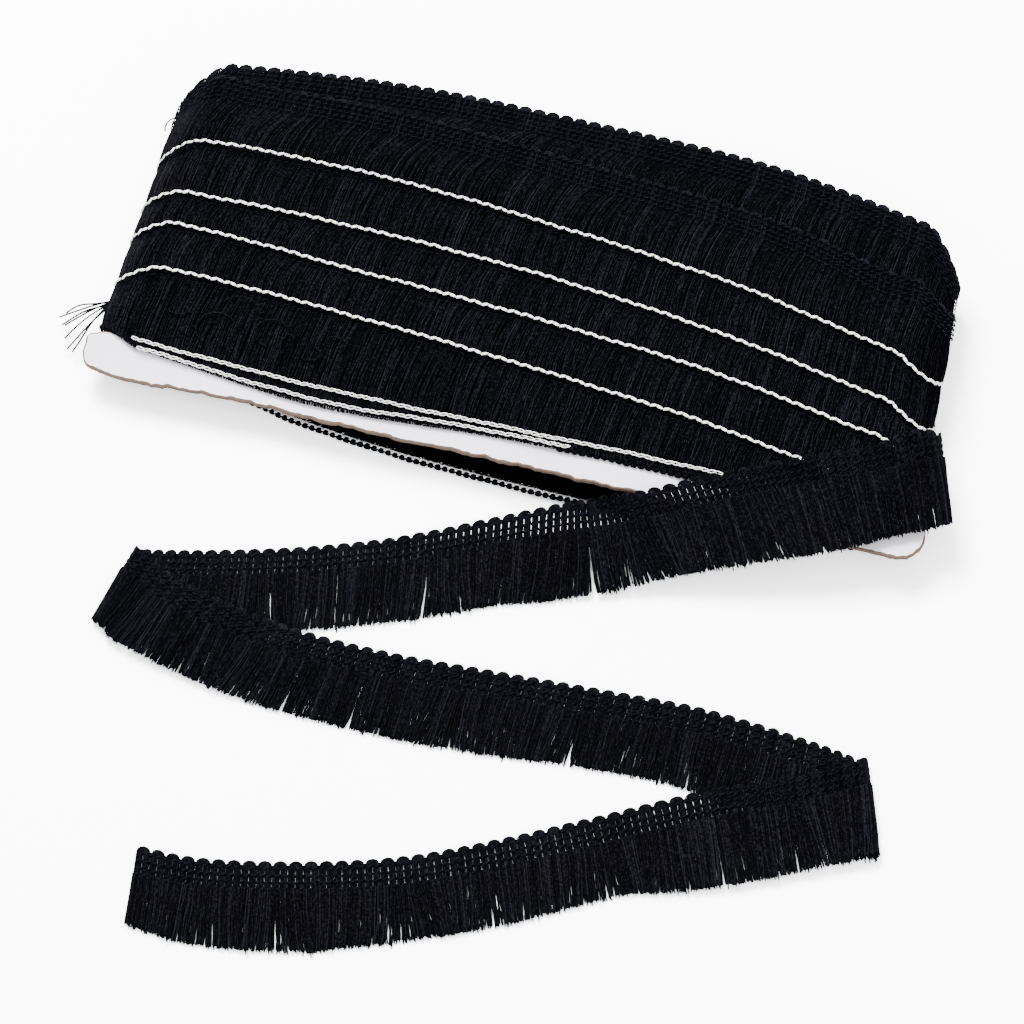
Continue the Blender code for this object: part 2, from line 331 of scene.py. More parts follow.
class Shader(NodeTree):
    """A material's node tree under construction."""

    def __init__(self, name: str) -> None:
        """Starts a material with a Principled shader.

        Args:
            name: The material's name.
        """
        self.material = bpy.data.materials.new(name)
        self.material.use_nodes = True
        self.tree = self.material.node_tree
        self.surface = self.tree.nodes["Principled BSDF"]

    def place(self) -> Socket:
        """Returns the output that gives the place on the object."""
        return self.node("ShaderNodeTexCoord").outputs["Object"]

    def noise(self, scale: float, detail: float = 3.0) -> Socket:
        """Returns noise over the object.

        Args:
            scale: The noise's scale, in cycles a metre.
            detail: Its detail.
        """
        return self.node(
            "ShaderNodeTexNoise",
            {"Vector": self.place(), "Scale": scale, "Detail": detail},
        ).outputs["Fac"]

    def reads(self, name: str) -> Socket:
        """Returns a named attribute's value.

        Args:
            name: The attribute's name.
        """
        return self.node("ShaderNodeAttribute", attribute_name=name).outputs["Fac"]

    def sums(
        self, first: object, second: object, operation: str = "ADD", clamp: bool = False
    ) -> Socket:
        """Returns the sum, or another operation, of two values.

        Args:
            first: A socket or a number.
            second: A socket or a number.
            operation: The Math node's operation.
            clamp: Whether the result is kept between 0 and 1.
        """
        return self.node(
            "ShaderNodeMath", {0: first, 1: second}, operation=operation, use_clamp=clamp
        ).outputs[0]

    def mixes(self, share: object, first: object, second: object) -> Socket:
        """Returns a colour between two.

        Args:
            share: How far towards the second colour.
            first: A socket or a colour.
            second: A socket or a colour.
        """
        node = self.node("ShaderNodeMix", data_type="RGBA")
        for place, value in ((0, share), (6, first), (7, second)):
            if isinstance(value, Socket):
                self.tree.links.new(value, node.inputs[place])
            elif place == 0:
                node.inputs[place].default_value = value
            else:
                node.inputs[place].default_value = (*value, 1.0)
        return node.outputs[2]

    def bump(self, height: Socket, distance: float, strength: float) -> None:
        """Gives the surface a bump.

        Args:
            height: The relief, from 0 to 1.
            distance: The relief's depth in metres.
            strength: The bump's strength.
        """
        node = self.node(
            "ShaderNodeBump", {"Height": height, "Distance": distance, "Strength": strength}
        )
        self.tree.links.new(node.outputs["Normal"], self.surface.inputs["Normal"])

    def colour(self, socket: Socket) -> None:
        """Links the surface's colour.

        Args:
            socket: The colour.
        """
        self.tree.links.new(socket, self.surface.inputs["Base Color"])

    def fix(self, **values: float) -> None:
        """Sets values on the surface's own sockets.

        Args:
            values: The values by socket name, with _ for a space.
        """
        for name, value in values.items():
            self.surface.inputs[name.replace("_", " ")].default_value = value


# ---------------------------------------------------------------------------------------------
# Finishes
# ---------------------------------------------------------------------------------------------


@dataclass(frozen=True)
class YarnFinish:
    """Spun black yarn: each thread has its own random shade, mixed from its near-black towards a
    lighter painted highlight colour, with painted glints (lighter specks) along it.
    """

    name: str
    dark: Point
    # light: the painted highlight colour that a thread's shade and its painted glints lighten it
    # towards.
    light: Point
    roughness: float = 0.6
    gloss: float = 0.1
    # The painted glints' noise scale and strength.
    painted_glint_scale: float = 1300.0
    painted_glint: float = 1.7
    fuzz_scale: float = 4200.0

    def material(self) -> bpy.types.Material:
        """Returns the yarn's material."""
        shader = Shader(self.name)
        shade = shader.reads("shade")
        # Painted glints: noise specks that lighten the colour along each thread.
        painted_glint_noise = shader.noise(self.painted_glint_scale)
        painted_glint = shader.sums(shader.sums(painted_glint_noise, 0.52, "SUBTRACT"), self.painted_glint, "MULTIPLY")
        share = shader.sums(shade, painted_glint, "ADD", clamp=True)
        shader.colour(shader.mixes(share, self.dark, self.light))
        shader.bump(shader.noise(self.fuzz_scale, 2.0), 0.0001, 0.35)
        shader.fix(Roughness=self.roughness, Specular_IOR_Level=self.gloss)
        return shader.material


@dataclass(frozen=True)
class ChainFinish:
    """The chain stitch's soft white cotton."""

    name: str = "white chain cotton"
    white: Point = (0.93, 0.92, 0.88)
    shaded: Point = (0.74, 0.72, 0.66)

    def material(self) -> bpy.types.Material:
        """Returns the cotton's material."""
        shader = Shader(self.name)
        share = shader.sums(shader.noise(1400.0), 0.42, "SUBTRACT", clamp=True)
        shader.colour(shader.mixes(share, self.white, self.shaded))
        shader.bump(shader.noise(3600.0, 2.0), 0.0001, 0.4)
        shader.fix(Roughness=0.8, Sheen_Weight=0.1, Specular_IOR_Level=0.3)
        return shader.material


@dataclass(frozen=True)
class CardFinish:
    """Chipboard with a white paper face, brown and fibrous where it is cut or torn."""

    name: str = "white faced chipboard"
    paper: Point = (0.74, 0.71, 0.77)
    worn: Point = (0.58, 0.56, 0.60)
    pulp: Point = (0.035, 0.02, 0.013)
    pale_pulp: Point = (0.13, 0.08, 0.055)
    torn_width: float = 0.7

    def material(self) -> bpy.types.Material:
        """Returns the card's material."""
        shader = Shader(self.name)
        cloud = shader.noise(26.0, 5.0)
        paper = shader.mixes(
            shader.sums(shader.sums(cloud, 0.45, "SUBTRACT"), 1.2, "MULTIPLY", clamp=True),
            self.paper,
            self.worn,
        )
        fibres = shader.noise(900.0, 4.0)
        pulp = shader.mixes(shader.sums(fibres, 0.1, "SUBTRACT", True), self.pulp, self.pale_pulp)
        ragged = shader.sums(shader.noise(260.0, 4.0), 1.6, "MULTIPLY")
        torn = shader.sums(
            shader.reads("rim"), shader.sums(ragged, self.torn_width, "MULTIPLY"), "LESS_THAN"
        )
        shader.colour(shader.mixes(torn, paper, pulp))
        shader.bump(fibres, 0.0002, 0.25)
        shader.fix(Roughness=0.72, Specular_IOR_Level=0.3)
        return shader.material


@dataclass(frozen=True)
class FloorFinish:
    """The pale table top."""

    name: str = "pale table"
    shade: Point = (0.97, 0.97, 0.975)
    worn: Point = (0.9, 0.9, 0.91)
    seen: Point = (2.3, 2.3, 2.3)

    def material(self) -> bpy.types.Material:
        """Returns the table's material."""
        shader = Shader(self.name)
        share = shader.sums(shader.noise(6.0), 0.03, "MULTIPLY")
        direct = shader.node("ShaderNodeLightPath").outputs["Is Camera Ray"]
        shader.colour(
            shader.mixes(direct, shader.mixes(share, self.shade, self.worn), self.seen)
        )
        shader.fix(Roughness=0.9, Specular_IOR_Level=0.1)
        return shader.material


CHAIN = ChainFinish()
BOARD = CardFinish()
TABLE = FloorFinish()
# Each finish's second colour is its painted highlight colour.
YARN = YarnFinish("black yarn", (0.0005, 0.0005, 0.0011), (0.0165, 0.0165, 0.0225), 0.75, 0.02)
CORE = YarnFinish("black yarn core", (0.0003, 0.0003, 0.0006), (0.001, 0.001, 0.0016), 0.9, 0.01)
# The braid is the same yarn with a lighter blue-grey near-black: painted highlights on its raised
# stitch crossings, over the yarn's own blue-black.
BRAID = YarnFinish("black braid", (0.0028, 0.0029, 0.0058), (0.0175, 0.0175, 0.029), 0.7, 0.03)


@dataclass
class Workshop:
    """The node trees, finishes and helper shapes that the pieces are made with."""

    seed: int = 20
    thread_sides: int = 3
    most_shade: float = 0.3
    trees: dict[str, GeometryTree] = field(default_factory=dict)
    finishes: dict[str, bpy.types.Material] = field(default_factory=dict)
    helpers: list[bpy.types.Object] = field(default_factory=list)

    def __post_init__(self) -> None:
        """Builds the trees and the finishes."""
        self.random = np.random.default_rng(self.seed)
        self.trees = {"threads": strand_tree(), "stitches": stitch_tree()}
        made = (YARN, CORE, BRAID, CHAIN, BOARD, TABLE)
        self.finishes = {finish.name: finish.material() for finish in made}

    def threads(
        self,
        name: str,
        points: np.ndarray,
        radius: float,
        finish: str,
        shades: np.ndarray | None = None,
    ) -> bpy.types.Object:
        """Makes threads.

        Args:
            name: The piece's name.
            points: The threads' points, as (threads, points, 3) in millimetres.
            radius: A thread's radius in millimetres.
            finish: The finish's name.
            shades: Each thread's shade, from 0 to 1, or nothing for random dark shades.

        Returns:
            The piece.
        """
        count, length = points.shape[:2]
        if shades is None:
            shades = self.most_shade * self.random.random(count)
        obj = lines_object(name, points)
        store(obj.data, "shade", np.repeat(shades, length))
        return self.trees["threads"].apply(
            obj,
            {"Radius": radius * MM, "Sides": self.thread_sides, "Material": self.finishes[finish]},
        )

    def stitches(
        self,
        name: str,
        lines: list[tuple[np.ndarray, np.ndarray]],
        shape: bpy.types.Object,
        pitch: float,
        finish: str,
        tilt: float = 0.0,
        uneven: float = 0.0,
        closed: bool = False,
    ) -> bpy.types.Object:
        """Sets a shape down along lines.

        Args:
            name: The piece's name.
            lines: Each line's points in millimetres, and the upward direction at each.
            shape: The shape, made along X with Z up.
            pitch: The distance between shapes in millimetres.
            finish: The finish's name.
            tilt: How far the shapes turn by turns, in degrees.
            uneven: How much their size differs, as a share.
            closed: Whether the lines are rings.

        Returns:
            The piece.
        """
        objects = []
        for points, ups in lines:
            obj = lines_object(name, points[None], closed)
            store(obj.data, "up", ups, "FLOAT_VECTOR")
            objects.append(obj)
        joined = join(objects, name)
        return self.trees["stitches"].apply(
            joined,
            {
                "Shape": shape,
                "Pitch": pitch * MM,
                "Tilt": math.radians(tilt),
                "Uneven": uneven,
                "Seed": self.seed,
                "Material": self.finishes[finish],
            },
        )

    def clear_helpers(self) -> None:
        """Removes the helper shapes."""
        for obj in self.helpers:
            bpy.data.objects.remove(obj)
        self.helpers.clear()

    def helper(self, obj: bpy.types.Object) -> bpy.types.Object:
        """Keeps a shape as a helper that isn't shown.

        Args:
            obj: The shape.

        Returns:
            The shape.
        """
        obj.hide_render = True
        self.helpers.append(obj)
        return obj


def lines_object(name: str, points: np.ndarray, closed: bool = False) -> bpy.types.Object:
    """Makes an object of plain lines.

    Args:
        name: Its name.
        points: The lines' points, as (lines, points, 3) in millimetres.
        closed: Whether each line is a ring.

    Returns:
        The object, linked to the scene.
    """
    count, length = points.shape[:2]
    mesh = bpy.data.meshes.new(name)
    mesh.vertices.add(count * length)
    mesh.vertices.foreach_set("co", (points.reshape(-1) * MM).astype(np.float32))
    starts = np.arange(count)[:, None] * length
    run = np.arange(length if closed else length - 1)
    pairs = np.stack([starts + run, starts + (run + 1) % length], -1).reshape(-1, 2)
    mesh.edges.add(len(pairs))
    mesh.edges.foreach_set("vertices", pairs.reshape(-1).astype(np.int32))
    mesh.update()
    return linked(name, mesh)


def store(mesh: bpy.types.Mesh, name: str, values: np.ndarray, kind: str = "FLOAT") -> None:
    """Stores a value for each of a mesh's points.

    Args:
        mesh: The mesh.
        name: The attribute's name.
        values: The values, one for each point.
        kind: FLOAT, or FLOAT_VECTOR.
    """
    attribute = mesh.attributes.new(name, kind, "POINT")
    socket = "value" if kind == "FLOAT" else "vector"
    attribute.data.foreach_set(socket, np.ascontiguousarray(values, np.float32).reshape(-1))


def mesh_object(
    name: str, points: np.ndarray, faces: list, material: bpy.types.Material | None = None
) -> bpy.types.Object:
    """Makes a mesh object.

    Args:
        name: Its name.
        points: Its points in millimetres.
        faces: Its faces.
        material: Its material.

    Returns:
        The object, linked to the scene.
    """
    mesh = bpy.data.meshes.new(name)
    mesh.from_pydata((np.asarray(points) * MM).tolist(), [], [list(map(int, f)) for f in faces])
    mesh.polygons.foreach_set("use_smooth", np.ones(len(mesh.polygons), bool))
    if material is not None:
        mesh.materials.append(material)
    mesh.update()
    return linked(name, mesh)


def join(objects: list[bpy.types.Object], name: str) -> bpy.types.Object:
    """Joins objects into one.

    Args:
        objects: The objects.
        name: The joined object's name.

    Returns:
        The joined object.
    """
    if len(objects) > 1:
        with bpy.context.temp_override(
            active_object=objects[0],
            selected_editable_objects=objects,
            selected_objects=objects,
        ):
            bpy.ops.object.join()
    objects[0].name = objects[0].data.name = name
    return objects[0]


def grid_faces(rows: int, columns: int, keep: np.ndarray | None = None) -> list:
    """Returns the faces of a grid of points.

    Args:
        rows: How many rows of points.
        columns: How many points in a row.
        keep: Which cells have a face.
    """
    cells = np.arange((rows - 1) * (columns - 1)).reshape(rows - 1, columns - 1)
    corner = cells // (columns - 1) * columns + cells % (columns - 1)
    quads = np.stack([corner, corner + columns, corner + columns + 1, corner + 1], -1)
    return quads[keep].tolist() if keep is not None else quads.reshape(-1, 4).tolist()


def unit(vectors: np.ndarray) -> np.ndarray:
    """Returns vectors with length 1.

    Args:
        vectors: The vectors, along the last axis.
    """
    return vectors / np.maximum(np.linalg.norm(vectors, axis=-1, keepdims=True), 1e-9)


def smooth_wave(
    random: np.random.Generator, along: np.ndarray, lengths: tuple[float, ...]
) -> np.ndarray:
    """Returns a slow, uneven wave along a line, of size about 1.

    Args:
        random: The source of its phases.
        along: Places along the line in millimetres.
        lengths: The wave's lengths in millimetres.
    """
    phases = random.random(len(lengths)) * math.tau
    total = sum(np.sin(along * math.tau / w + p) for w, p in zip(lengths, phases))
    return total / len(lengths)


def spline(
    before: np.ndarray, start: np.ndarray, end: np.ndarray, after: np.ndarray, share: np.ndarray
) -> np.ndarray:
    """Returns points on the Catmull-Rom spline from one point to the next.

    Args:
        before: The point before the start.
        start: The start.
        end: The end.
        after: The point after the end.
        share: How far from the start to the end.
    """
    return 0.5 * (
        2 * start
        + (end - before) * share
        + (2 * before - 5 * start + 4 * end - after) * share**2
        + (3 * start - before - 3 * end + after) * share**3
    )


def smooth_table(places: np.ndarray, values: np.ndarray, at: np.ndarray) -> np.ndarray:
    """Returns values on a smooth curve through a table.

    Args:
        places: The table's places, rising.
        values: The table's values, in rows where there are several columns.
        at: Where the values are wanted.
    """
    places, values, at = (np.asarray(a, float) for a in (places, values, at))
    last = len(places) - 1
    span = np.clip(np.searchsorted(places, at, side="left") - 1, 0, last - 1)
    share = np.clip((at - places[span]) / (places[span + 1] - places[span]), 0, 1)
    if values.ndim > 1:
        share = share[..., None]
    before, start = values[np.maximum(span - 1, 0)], values[span]
    return spline(before, start, values[span + 1], values[np.minimum(span + 2, last)], share)


# ---------------------------------------------------------------------------------------------
# Helper shapes
# ---------------------------------------------------------------------------------------------


def ring_tube(
    name: str, centre_line: np.ndarray, radii: np.ndarray, sides: int, closed: bool
) -> bpy.types.Object:
    """Makes a tube round a line that lies in the XY plane.

    Args:
        name: The shape's name.
        centre_line: The line's points in millimetres.
        radii: The tube's radius at each point.
        sides: How many sides it has.
        closed: Whether the line is a ring.

    Returns:
        The shape.
    """
    count = len(centre_line)
    if closed:
        along = np.roll(centre_line, -1, 0) - np.roll(centre_line, 1, 0)
    else:
        along = np.gradient(centre_line, axis=0)
    side = unit(np.stack([-along[:, 1], along[:, 0], np.zeros(count)], -1))
    up = unit(np.cross(along, side))
    angles = np.arange(sides) * math.tau / sides
    points = (
        centre_line[:, None]
        + radii[:, None, None]
        * (side[:, None] * np.cos(angles)[None, :, None] + up[:, None] * np.sin(angles)[None, :, None])
    )
    faces = []
    for i in range(count if closed else count - 1):
        j = (i + 1) % count
        for k in range(sides):
            m = (k + 1) % sides
            faces.append((i * sides + k, i * sides + m, j * sides + m, j * sides + k))
    if not closed:
        faces.append(tuple(range(sides))[::-1])
        faces.append(tuple((count - 1) * sides + k for k in range(sides)))
    obj = mesh_object(name, points.reshape(-1, 3), faces)
    outwards(obj)
    return obj


def outwards(obj: bpy.types.Object) -> None:
    """Turns a closed mesh's faces outwards.

    Args:
        obj: The mesh object.
    """
    work = bmesh.new()
    work.from_mesh(obj.data)
    bmesh.ops.recalc_face_normals(work, faces=work.faces)
    work.to_mesh(obj.data)
    work.free()


@dataclass(frozen=True)
class ChainLink:
    """One oval loop of the chain stitch: a pointed loop, pulled tight into the next."""

    length: float = 2.3
    width: float = 0.5
    thread: float = 0.29
    points: int = 7
    sides: int = 4

    def build(self) -> bpy.types.Object:
        """Returns the link, along X."""
        angles = np.arange(self.points) * math.tau / self.points
        x = np.cos(angles) * self.length / 2
        y = np.sin(angles) * self.width / 2 * (1.0 - 0.25 * np.cos(angles))
        z = 0.22 * np.cos(angles)
        line = np.stack([x, y, z], -1)
        return ring_tube("link", line, np.full(self.points, self.thread), self.sides, True)


@dataclass(frozen=True)
class LoopArc:
    """A chain stitch seen from its edge: the thread's arc round the back of a bent bundle end."""

    radius: float = 1.15
    thread: float = 0.17
    drop: float = -1.0
    points: int = 6
    sides: int = 4

    def build(self) -> bpy.types.Object:
        """Returns the arc, along X and bulging to +Y."""
        angles = np.linspace(-0.15, math.pi + 0.15, self.points)
        x, y = self.radius * np.cos(angles), self.radius * np.sin(angles)
        line = np.stack([x, 0.85 * y, np.full(self.points, self.drop)], -1)
        return ring_tube("arc", line, np.full(self.points, self.thread), self.sides, False)


@dataclass(frozen=True)
class LoopBead:
    """The bent end of a bundle, where it turns round in front of the chain: a small round bead."""

    length: float = 2.8
    depth: float = 2.3
    height: float = 1.9
    around: int = 8
    rings: int = 4

    def build(self) -> bpy.types.Object:
        """Returns the bead, with its axis along Y."""
        points, faces = [(0.0, self.depth / 2, 0.0)], []
        for i in range(1, self.rings):
            tip = math.pi * i / self.rings
            for k in range(self.around):
                turn = math.tau * k / self.around
                points.append(
                    (
                        self.length / 2 * math.sin(tip) * math.cos(turn),
                        self.depth / 2 * math.cos(tip),
                        self.height / 2 * math.sin(tip) * math.sin(turn),
                    )
                )
        points.append((0.0, -self.depth / 2, 0.0))
        last = len(points) - 1
        for k in range(self.around):
            m = (k + 1) % self.around
            faces.append((0, 1 + k, 1 + m))
            for i in range(self.rings - 2):
                a, b = 1 + i * self.around, 1 + (i + 1) * self.around
                faces.append((a + k, b + k, b + m, a + m))
            base = 1 + (self.rings - 2) * self.around
            faces.append((last, base + m, base + k))
        obj = mesh_object("bead", np.array(points), faces)
        outwards(obj)
        return obj


@dataclass(frozen=True)
class Dash:
    """One crossing stitch of the heading: a short arched length of yarn, laid aslant."""

    length: float = 2.1
    rise: float = 0.34
    slant: float = 0.35
    thread: float = 0.27
    points: int = 4
    sides: int = 3

    def build(self) -> bpy.types.Object:
        """Returns the dash, along X with its arch up."""
        share = np.linspace(-1, 1, self.points)
        x = share * self.length / 2
        y = share * self.slant
        z = self.rise * (1 - share**2)
        radii = self.thread * (1 - 0.55 * np.abs(share) ** 3)
        return ring_tube("dash", np.stack([x, y, z], -1), radii, self.sides, False)


# ---------------------------------------------------------------------------------------------
# The winding
# ---------------------------------------------------------------------------------------------


@dataclass(frozen=True)
class Turn:
    """One turn's front edge.

    Its Y is given at seven places along the card, the last of them the turn's right end. The edge
    is the height of the front edge and the foot that of the turn on which it lies. The share says
    where the turn's edge runs on the underside, from 0 at the front to 1 at the back.
    """

    name: str
    front: tuple[float, ...]
    right_end: float
    foot: float
    edge: float
    share: float


@dataclass(frozen=True)
class Winding:
    """The shape that the shingled turns make round the card.

    A place on it is given by the length travelled round the loop of a turn, from the left end of
    the top, and by a place across: 0 on the frontmost turn's edge, 1 on the next, up to the back.
    """

    left_end: float = -142.6
    end_radius: float = 13.0
    middle: float = 12.0
    places: tuple[float, ...] = (-142.6, -128.0, -64.0, 0.0, 64.0, 122.0)
    end_length: float = 42.0
    top_length: float = 255.6
    under_front: Turn = Turn(
        "underside front", (-47.6, -47.4, -59.8, -64.4, -63.6, -58.0, -47.6), 139.0, 0.0, 2.4, 0.0
    )
    turns: tuple[Turn, ...] = (
        Turn("front", (-47.6, -52.8, -59.0, -55.2, -53.4, -52.4, -47.6), 139.0, 13.1, 14.6, 0.0),
        Turn("fifth", (-46.6, -51.4, -54.2, -53.4, -51.8, -50.4, -46.6), 139.0, 14.8, 15.8, 0.03),
        Turn("fourth", (-30.0, -23.2, -24.8, -29.0, -35.0, -44.0, -45.6), 139.0, 18.3, 19.9, 0.20),
        Turn("third", (-12.0, -6.4, -8.8, -11.8, -17.2, -27.0, -33.0), 139.0, 21.3, 22.8, 0.38),
        Turn("second", (0.0, 5.2, 6.4, 3.8, -3.4, -14.4, -24.6), 138.8, 24.0, 25.4, 0.52),
        Turn("first", (17.0, 25.6, 27.0, 22.6, 15.2, 2.8, -7.0), 137.6, 26.5, 28.1, 0.72),
        Turn("back", (47.0, 59.5, 67.2, 68.2, 66.6, 56.5, 43.0), 135.6, 28.4, 28.2, 1.0),
    )

    @property
    def loop_length(self) -> float:
        """Returns the length round the loop."""
        return 2 * (self.top_length + self.end_length)

    def front_y(self, turn: Turn, x: np.ndarray) -> np.ndarray:
        """Returns a turn's front edge.

        Args:
            turn: The turn.
            x: Places along the card.
        """
        return smooth_table((*self.places, turn.right_end), turn.front, x)

    def around(self, turn: Turn, length: np.ndarray) -> tuple[np.ndarray, np.ndarray]:
        """Returns X, and the angle round the ends, at lengths round the loop.

        Args:
            turn: The turn.
            length: Lengths round the loop.
        """
        length = np.mod(length, self.loop_length)
        top, end = self.top_length, self.end_length
        left = self.left_end + self.end_radius
        right = turn.right_end - self.end_radius
        share_top = np.clip(length / top, 0, 1)
        share_right = np.clip((length - top) / end, 0, 1)
        share_under = np.clip((length - top - end) / top, 0, 1)
        share_left = np.clip((length - 2 * top - end) / end, 0, 1)
        flat = left + (right - left) * (share_top - share_under)
        angle = math.pi * (share_right + share_left)
        return flat + self.end_radius * np.sin(angle), angle

    def edge(self, turn: Turn, length: np.ndarray, height: float) -> np.ndarray:
        """Returns places on a turn's loop.

        Args:
            turn: The turn.
            length: Lengths round the loop.
            height: The height on top.

        Returns:
            The points.
        """
        x, angle = self.around(turn, length)
        rise = np.cos(angle)
        y_top = self.front_y(turn, x)
        y_front = self.front_y(self.under_front, x)
        y_under = y_front + (self.front_y(self.turns[-1], x) - y_front) * turn.share
        y = y_top + (y_under - y_top) * (1 - rise) / 2
        low = self.under_front.edge if turn.name == "front" else 0.0
        z = self.middle + np.where(
            rise >= 0, (height - self.middle) * rise, (self.middle - low) * rise
        )
        return np.stack([x, y, z], -1)

    def outward(self, turn: Turn, length: np.ndarray) -> np.ndarray:
        """Returns the outward direction on a turn's loop.

        Args:
            turn: The turn.
            length: Lengths round the loop.
        """
        _, angle = self.around(turn, length)
        return np.stack([np.sin(angle), np.zeros_like(angle), np.cos(angle)], -1)

    def band(
        self, behind: int, length: np.ndarray, across: np.ndarray, off: np.ndarray
    ) -> np.ndarray:
        """Returns places on the band between two neighbouring turns' edges.

        Args:
            behind: The place of the turn behind in the turns.
            length: Lengths round the loop.
            across: 0 on the edge behind, 1 on the edge in front.
            off: How far off the band's surface.

        Returns:
            The points.
        """
        upper, lower = self.turns[behind], self.turns[behind - 1]
        start = self.edge(upper, length, upper.foot)
        end = self.edge(lower, length, lower.edge)
        points = start + (end - start) * across[..., None]
        out = self.outward(upper, length)
        points = points + out * np.asarray(off)[..., None]
        points[..., 2] = np.maximum(points[..., 2], 0.3)
        return points


@dataclass
class WoundTrim:
    """The winding's threads, headings, chain stitches and loops."""

    shop: Workshop
    form: Winding = field(default_factory=Winding)
    thread_pitch: float = 0.4
    thread_radius: float = 0.25
    usual_shade: tuple[float, float] = (0.08, 0.14)
    # The share of threads painted light as painted highlights, and their shades.
    painted_highlight_share: float = 0.06
    painted_highlight_shade: tuple[float, float] = (0.2, 0.5)
    band_shares: tuple[float, ...] = (-0.08, 0.16, 0.42, 0.7, 0.96, 1.06)
    heading_shares: tuple[float, ...] = (0.0, 0.12, 0.3, 0.52, 0.76, 0.97, 1.0)
    core_inset: float = 0.8
    sunk: float = -0.35
    curl: float = 0.4
    curl_lengths: Point = (17.0, 9.0, 5.3)
    shake: float = 0.27
    depths: tuple[float, float] = (-0.08, 0.1)
    crown: float = 0.5
    tip_drop: float = 0.6
    front_chain: tuple[float, float] = (3.6, 152.0)
    fifth_chain: tuple[float, float] = (1.0, 250.0)
    bead_row: tuple[float, float] = (150.0, 236.0)
    under_rows: tuple[float, float] = (300.0, 542.0)
    stitch_pitch: float = 2.5
    line_step: float = 1.3
    lowest: float = 0.8
    per_bundle: int = 5
    bundle_gap: float = 0.3
    heading_width: float = 10.2
    rows: tuple[float, ...] = (2.2, 4.1, 6.0, 7.9, 9.8)
    scallop_depth: float = 1.3
    scallop_radius: float = 0.28
    top_turn_lift: float = 0.5
    lower_turn_lift: float = -0.25
    top_turn_x: tuple[float, ...] = (
        -142.6, -120.0, -105.0, -75.0, -45.0, 0.0, 50.0, 85.0, 110.0, 137.0,
    )
    top_turn_from_back: tuple[float, ...] = (
        2.0, 7.0, 9.0, 11.5, 14.0, 17.5, 20.5, 22.3, 24.5, 20.5,
    )
    lean_x: tuple[float, ...] = (-142.0, -60.0, 40.0, 140.0)
    top_lean: tuple[float, ...] = (5.5, 6.5, 4.5, 1.5)
    band_lean: tuple[float, ...] = (2.8, 3.2, 2.0, 0.6)
    back_levels: tuple[float, ...] = (2.8, 5.9, 9.0, 12.1, 15.2)
    back_plies: int = 3
    back_radius: float = 0.6
    loose_radius: float = 0.36
    loose_shade: float = 0.12
    loose_points: int = 9
    loose_root: Point = (-141.5, -36.0, 12.0)
    loose_tips: tuple[Point, ...] = (
        (-159.3, -42.2, 4.0),
        (-158.2, -43.8, 3.4),
        (-156.6, -45.4, 5.0),
        (-154.9, -49.0, 4.0),
        (-153.1, -52.3, 3.0),
        (-151.2, -53.9, 4.0),
        (-157.8, -40.6, 6.0),
    )
    loop_root: Point = (-140.0, 34.0, 20.0)
    curls: tuple[Point, ...] = (
        (-109.0, -37.0, 6.0), (-97.0, -33.0, 8.0), (-84.0, -38.0, 7.0), (-78.0, -41.0, 5.0),
        (-118.0, -35.0, 5.0), (-70.0, -42.0, 6.0), (-62.0, -36.0, 4.0), (-103.0, -41.0, 7.0),
        (-20.0, 32.0, 6.0), (-34.0, 29.0, 5.0), (-90.0, -30.0, 4.0),
    )

    def build(self, cad: bpy.types.Object) -> list[bpy.types.Object]:
        """Builds every piece of the winding.

        Args:
            cad: The CAD node that the winding stands for.

        Returns:
            The pieces, the core first.
        """
        return [
            self.core(cad),
            *(self.band_threads(behind) for behind in range(1, len(self.form.turns) - 1)),
            self.heading_threads("wound_threads_under_heading", False),
            self.heading_threads("wound_threads_first", True),
            self.chain(),
            self.loops(),
            self.heading_scallops(),
            self.heading_stitches(),
            self.back_scallops(),
            self.loose_threads(),
        ]

    def core(self, cad: bpy.types.Object) -> bpy.types.Object:
        """Builds the dark mass of yarn under the threads that show.

        Args:
            cad: The CAD node.

        Returns:
            The piece.
        """
        work = bmesh.new()
        work.from_mesh(cad.data)
        bmesh.ops.remove_doubles(work, verts=work.verts, dist=1e-6)
        bmesh.ops.recalc_face_normals(work, faces=work.faces)
        mesh = bpy.data.meshes.new("wound_core")
        work.to_mesh(mesh)
        work.free()
        count = len(mesh.vertices)
        places, normals = np.zeros(count * 3), np.zeros(count * 3)
        mesh.vertices.foreach_get("co", places)
        mesh.vertex_normals.foreach_get("vector", normals)
        mesh.vertices.foreach_set("co", places - normals * self.core_inset * MM)
        mesh.materials.clear()
        mesh.materials.append(self.shop.finishes[CORE.name])
        mesh.update()
        return linked("wound_core", mesh)

    def shades(self, count: int) -> np.ndarray:
        """Returns each thread's shade: most are dark, and a few are painted light as painted
        highlights.

        Args:
            count: How many threads there are.
        """
        random = self.shop.random
        shades = np.clip(random.normal(*self.usual_shade, count), 0, 1)
        # A few threads are painted light as painted highlights.
        painted_highlit = random.random(count) < self.painted_highlight_share
        shades[painted_highlit] = random.uniform(*self.painted_highlight_shade, int(painted_highlit.sum()))
        return shades

    def lean(self, turn: Turn, start: np.ndarray, table: tuple[float, ...]) -> np.ndarray:
        """Returns how far the threads lean sideways from their ends up to the heading.

        Args:
            turn: The turn.
            start: Where the threads end, round the loop.
            table: The lean on top at a few places along the card.
        """
        x, angle = self.form.around(turn, start)
        lean = np.interp(x, self.lean_x, table) * np.cos(angle)
        return lean * (0.85 + 0.35 * smooth_wave(self.shop.random, start, (61.0, 37.0, 23.0)))

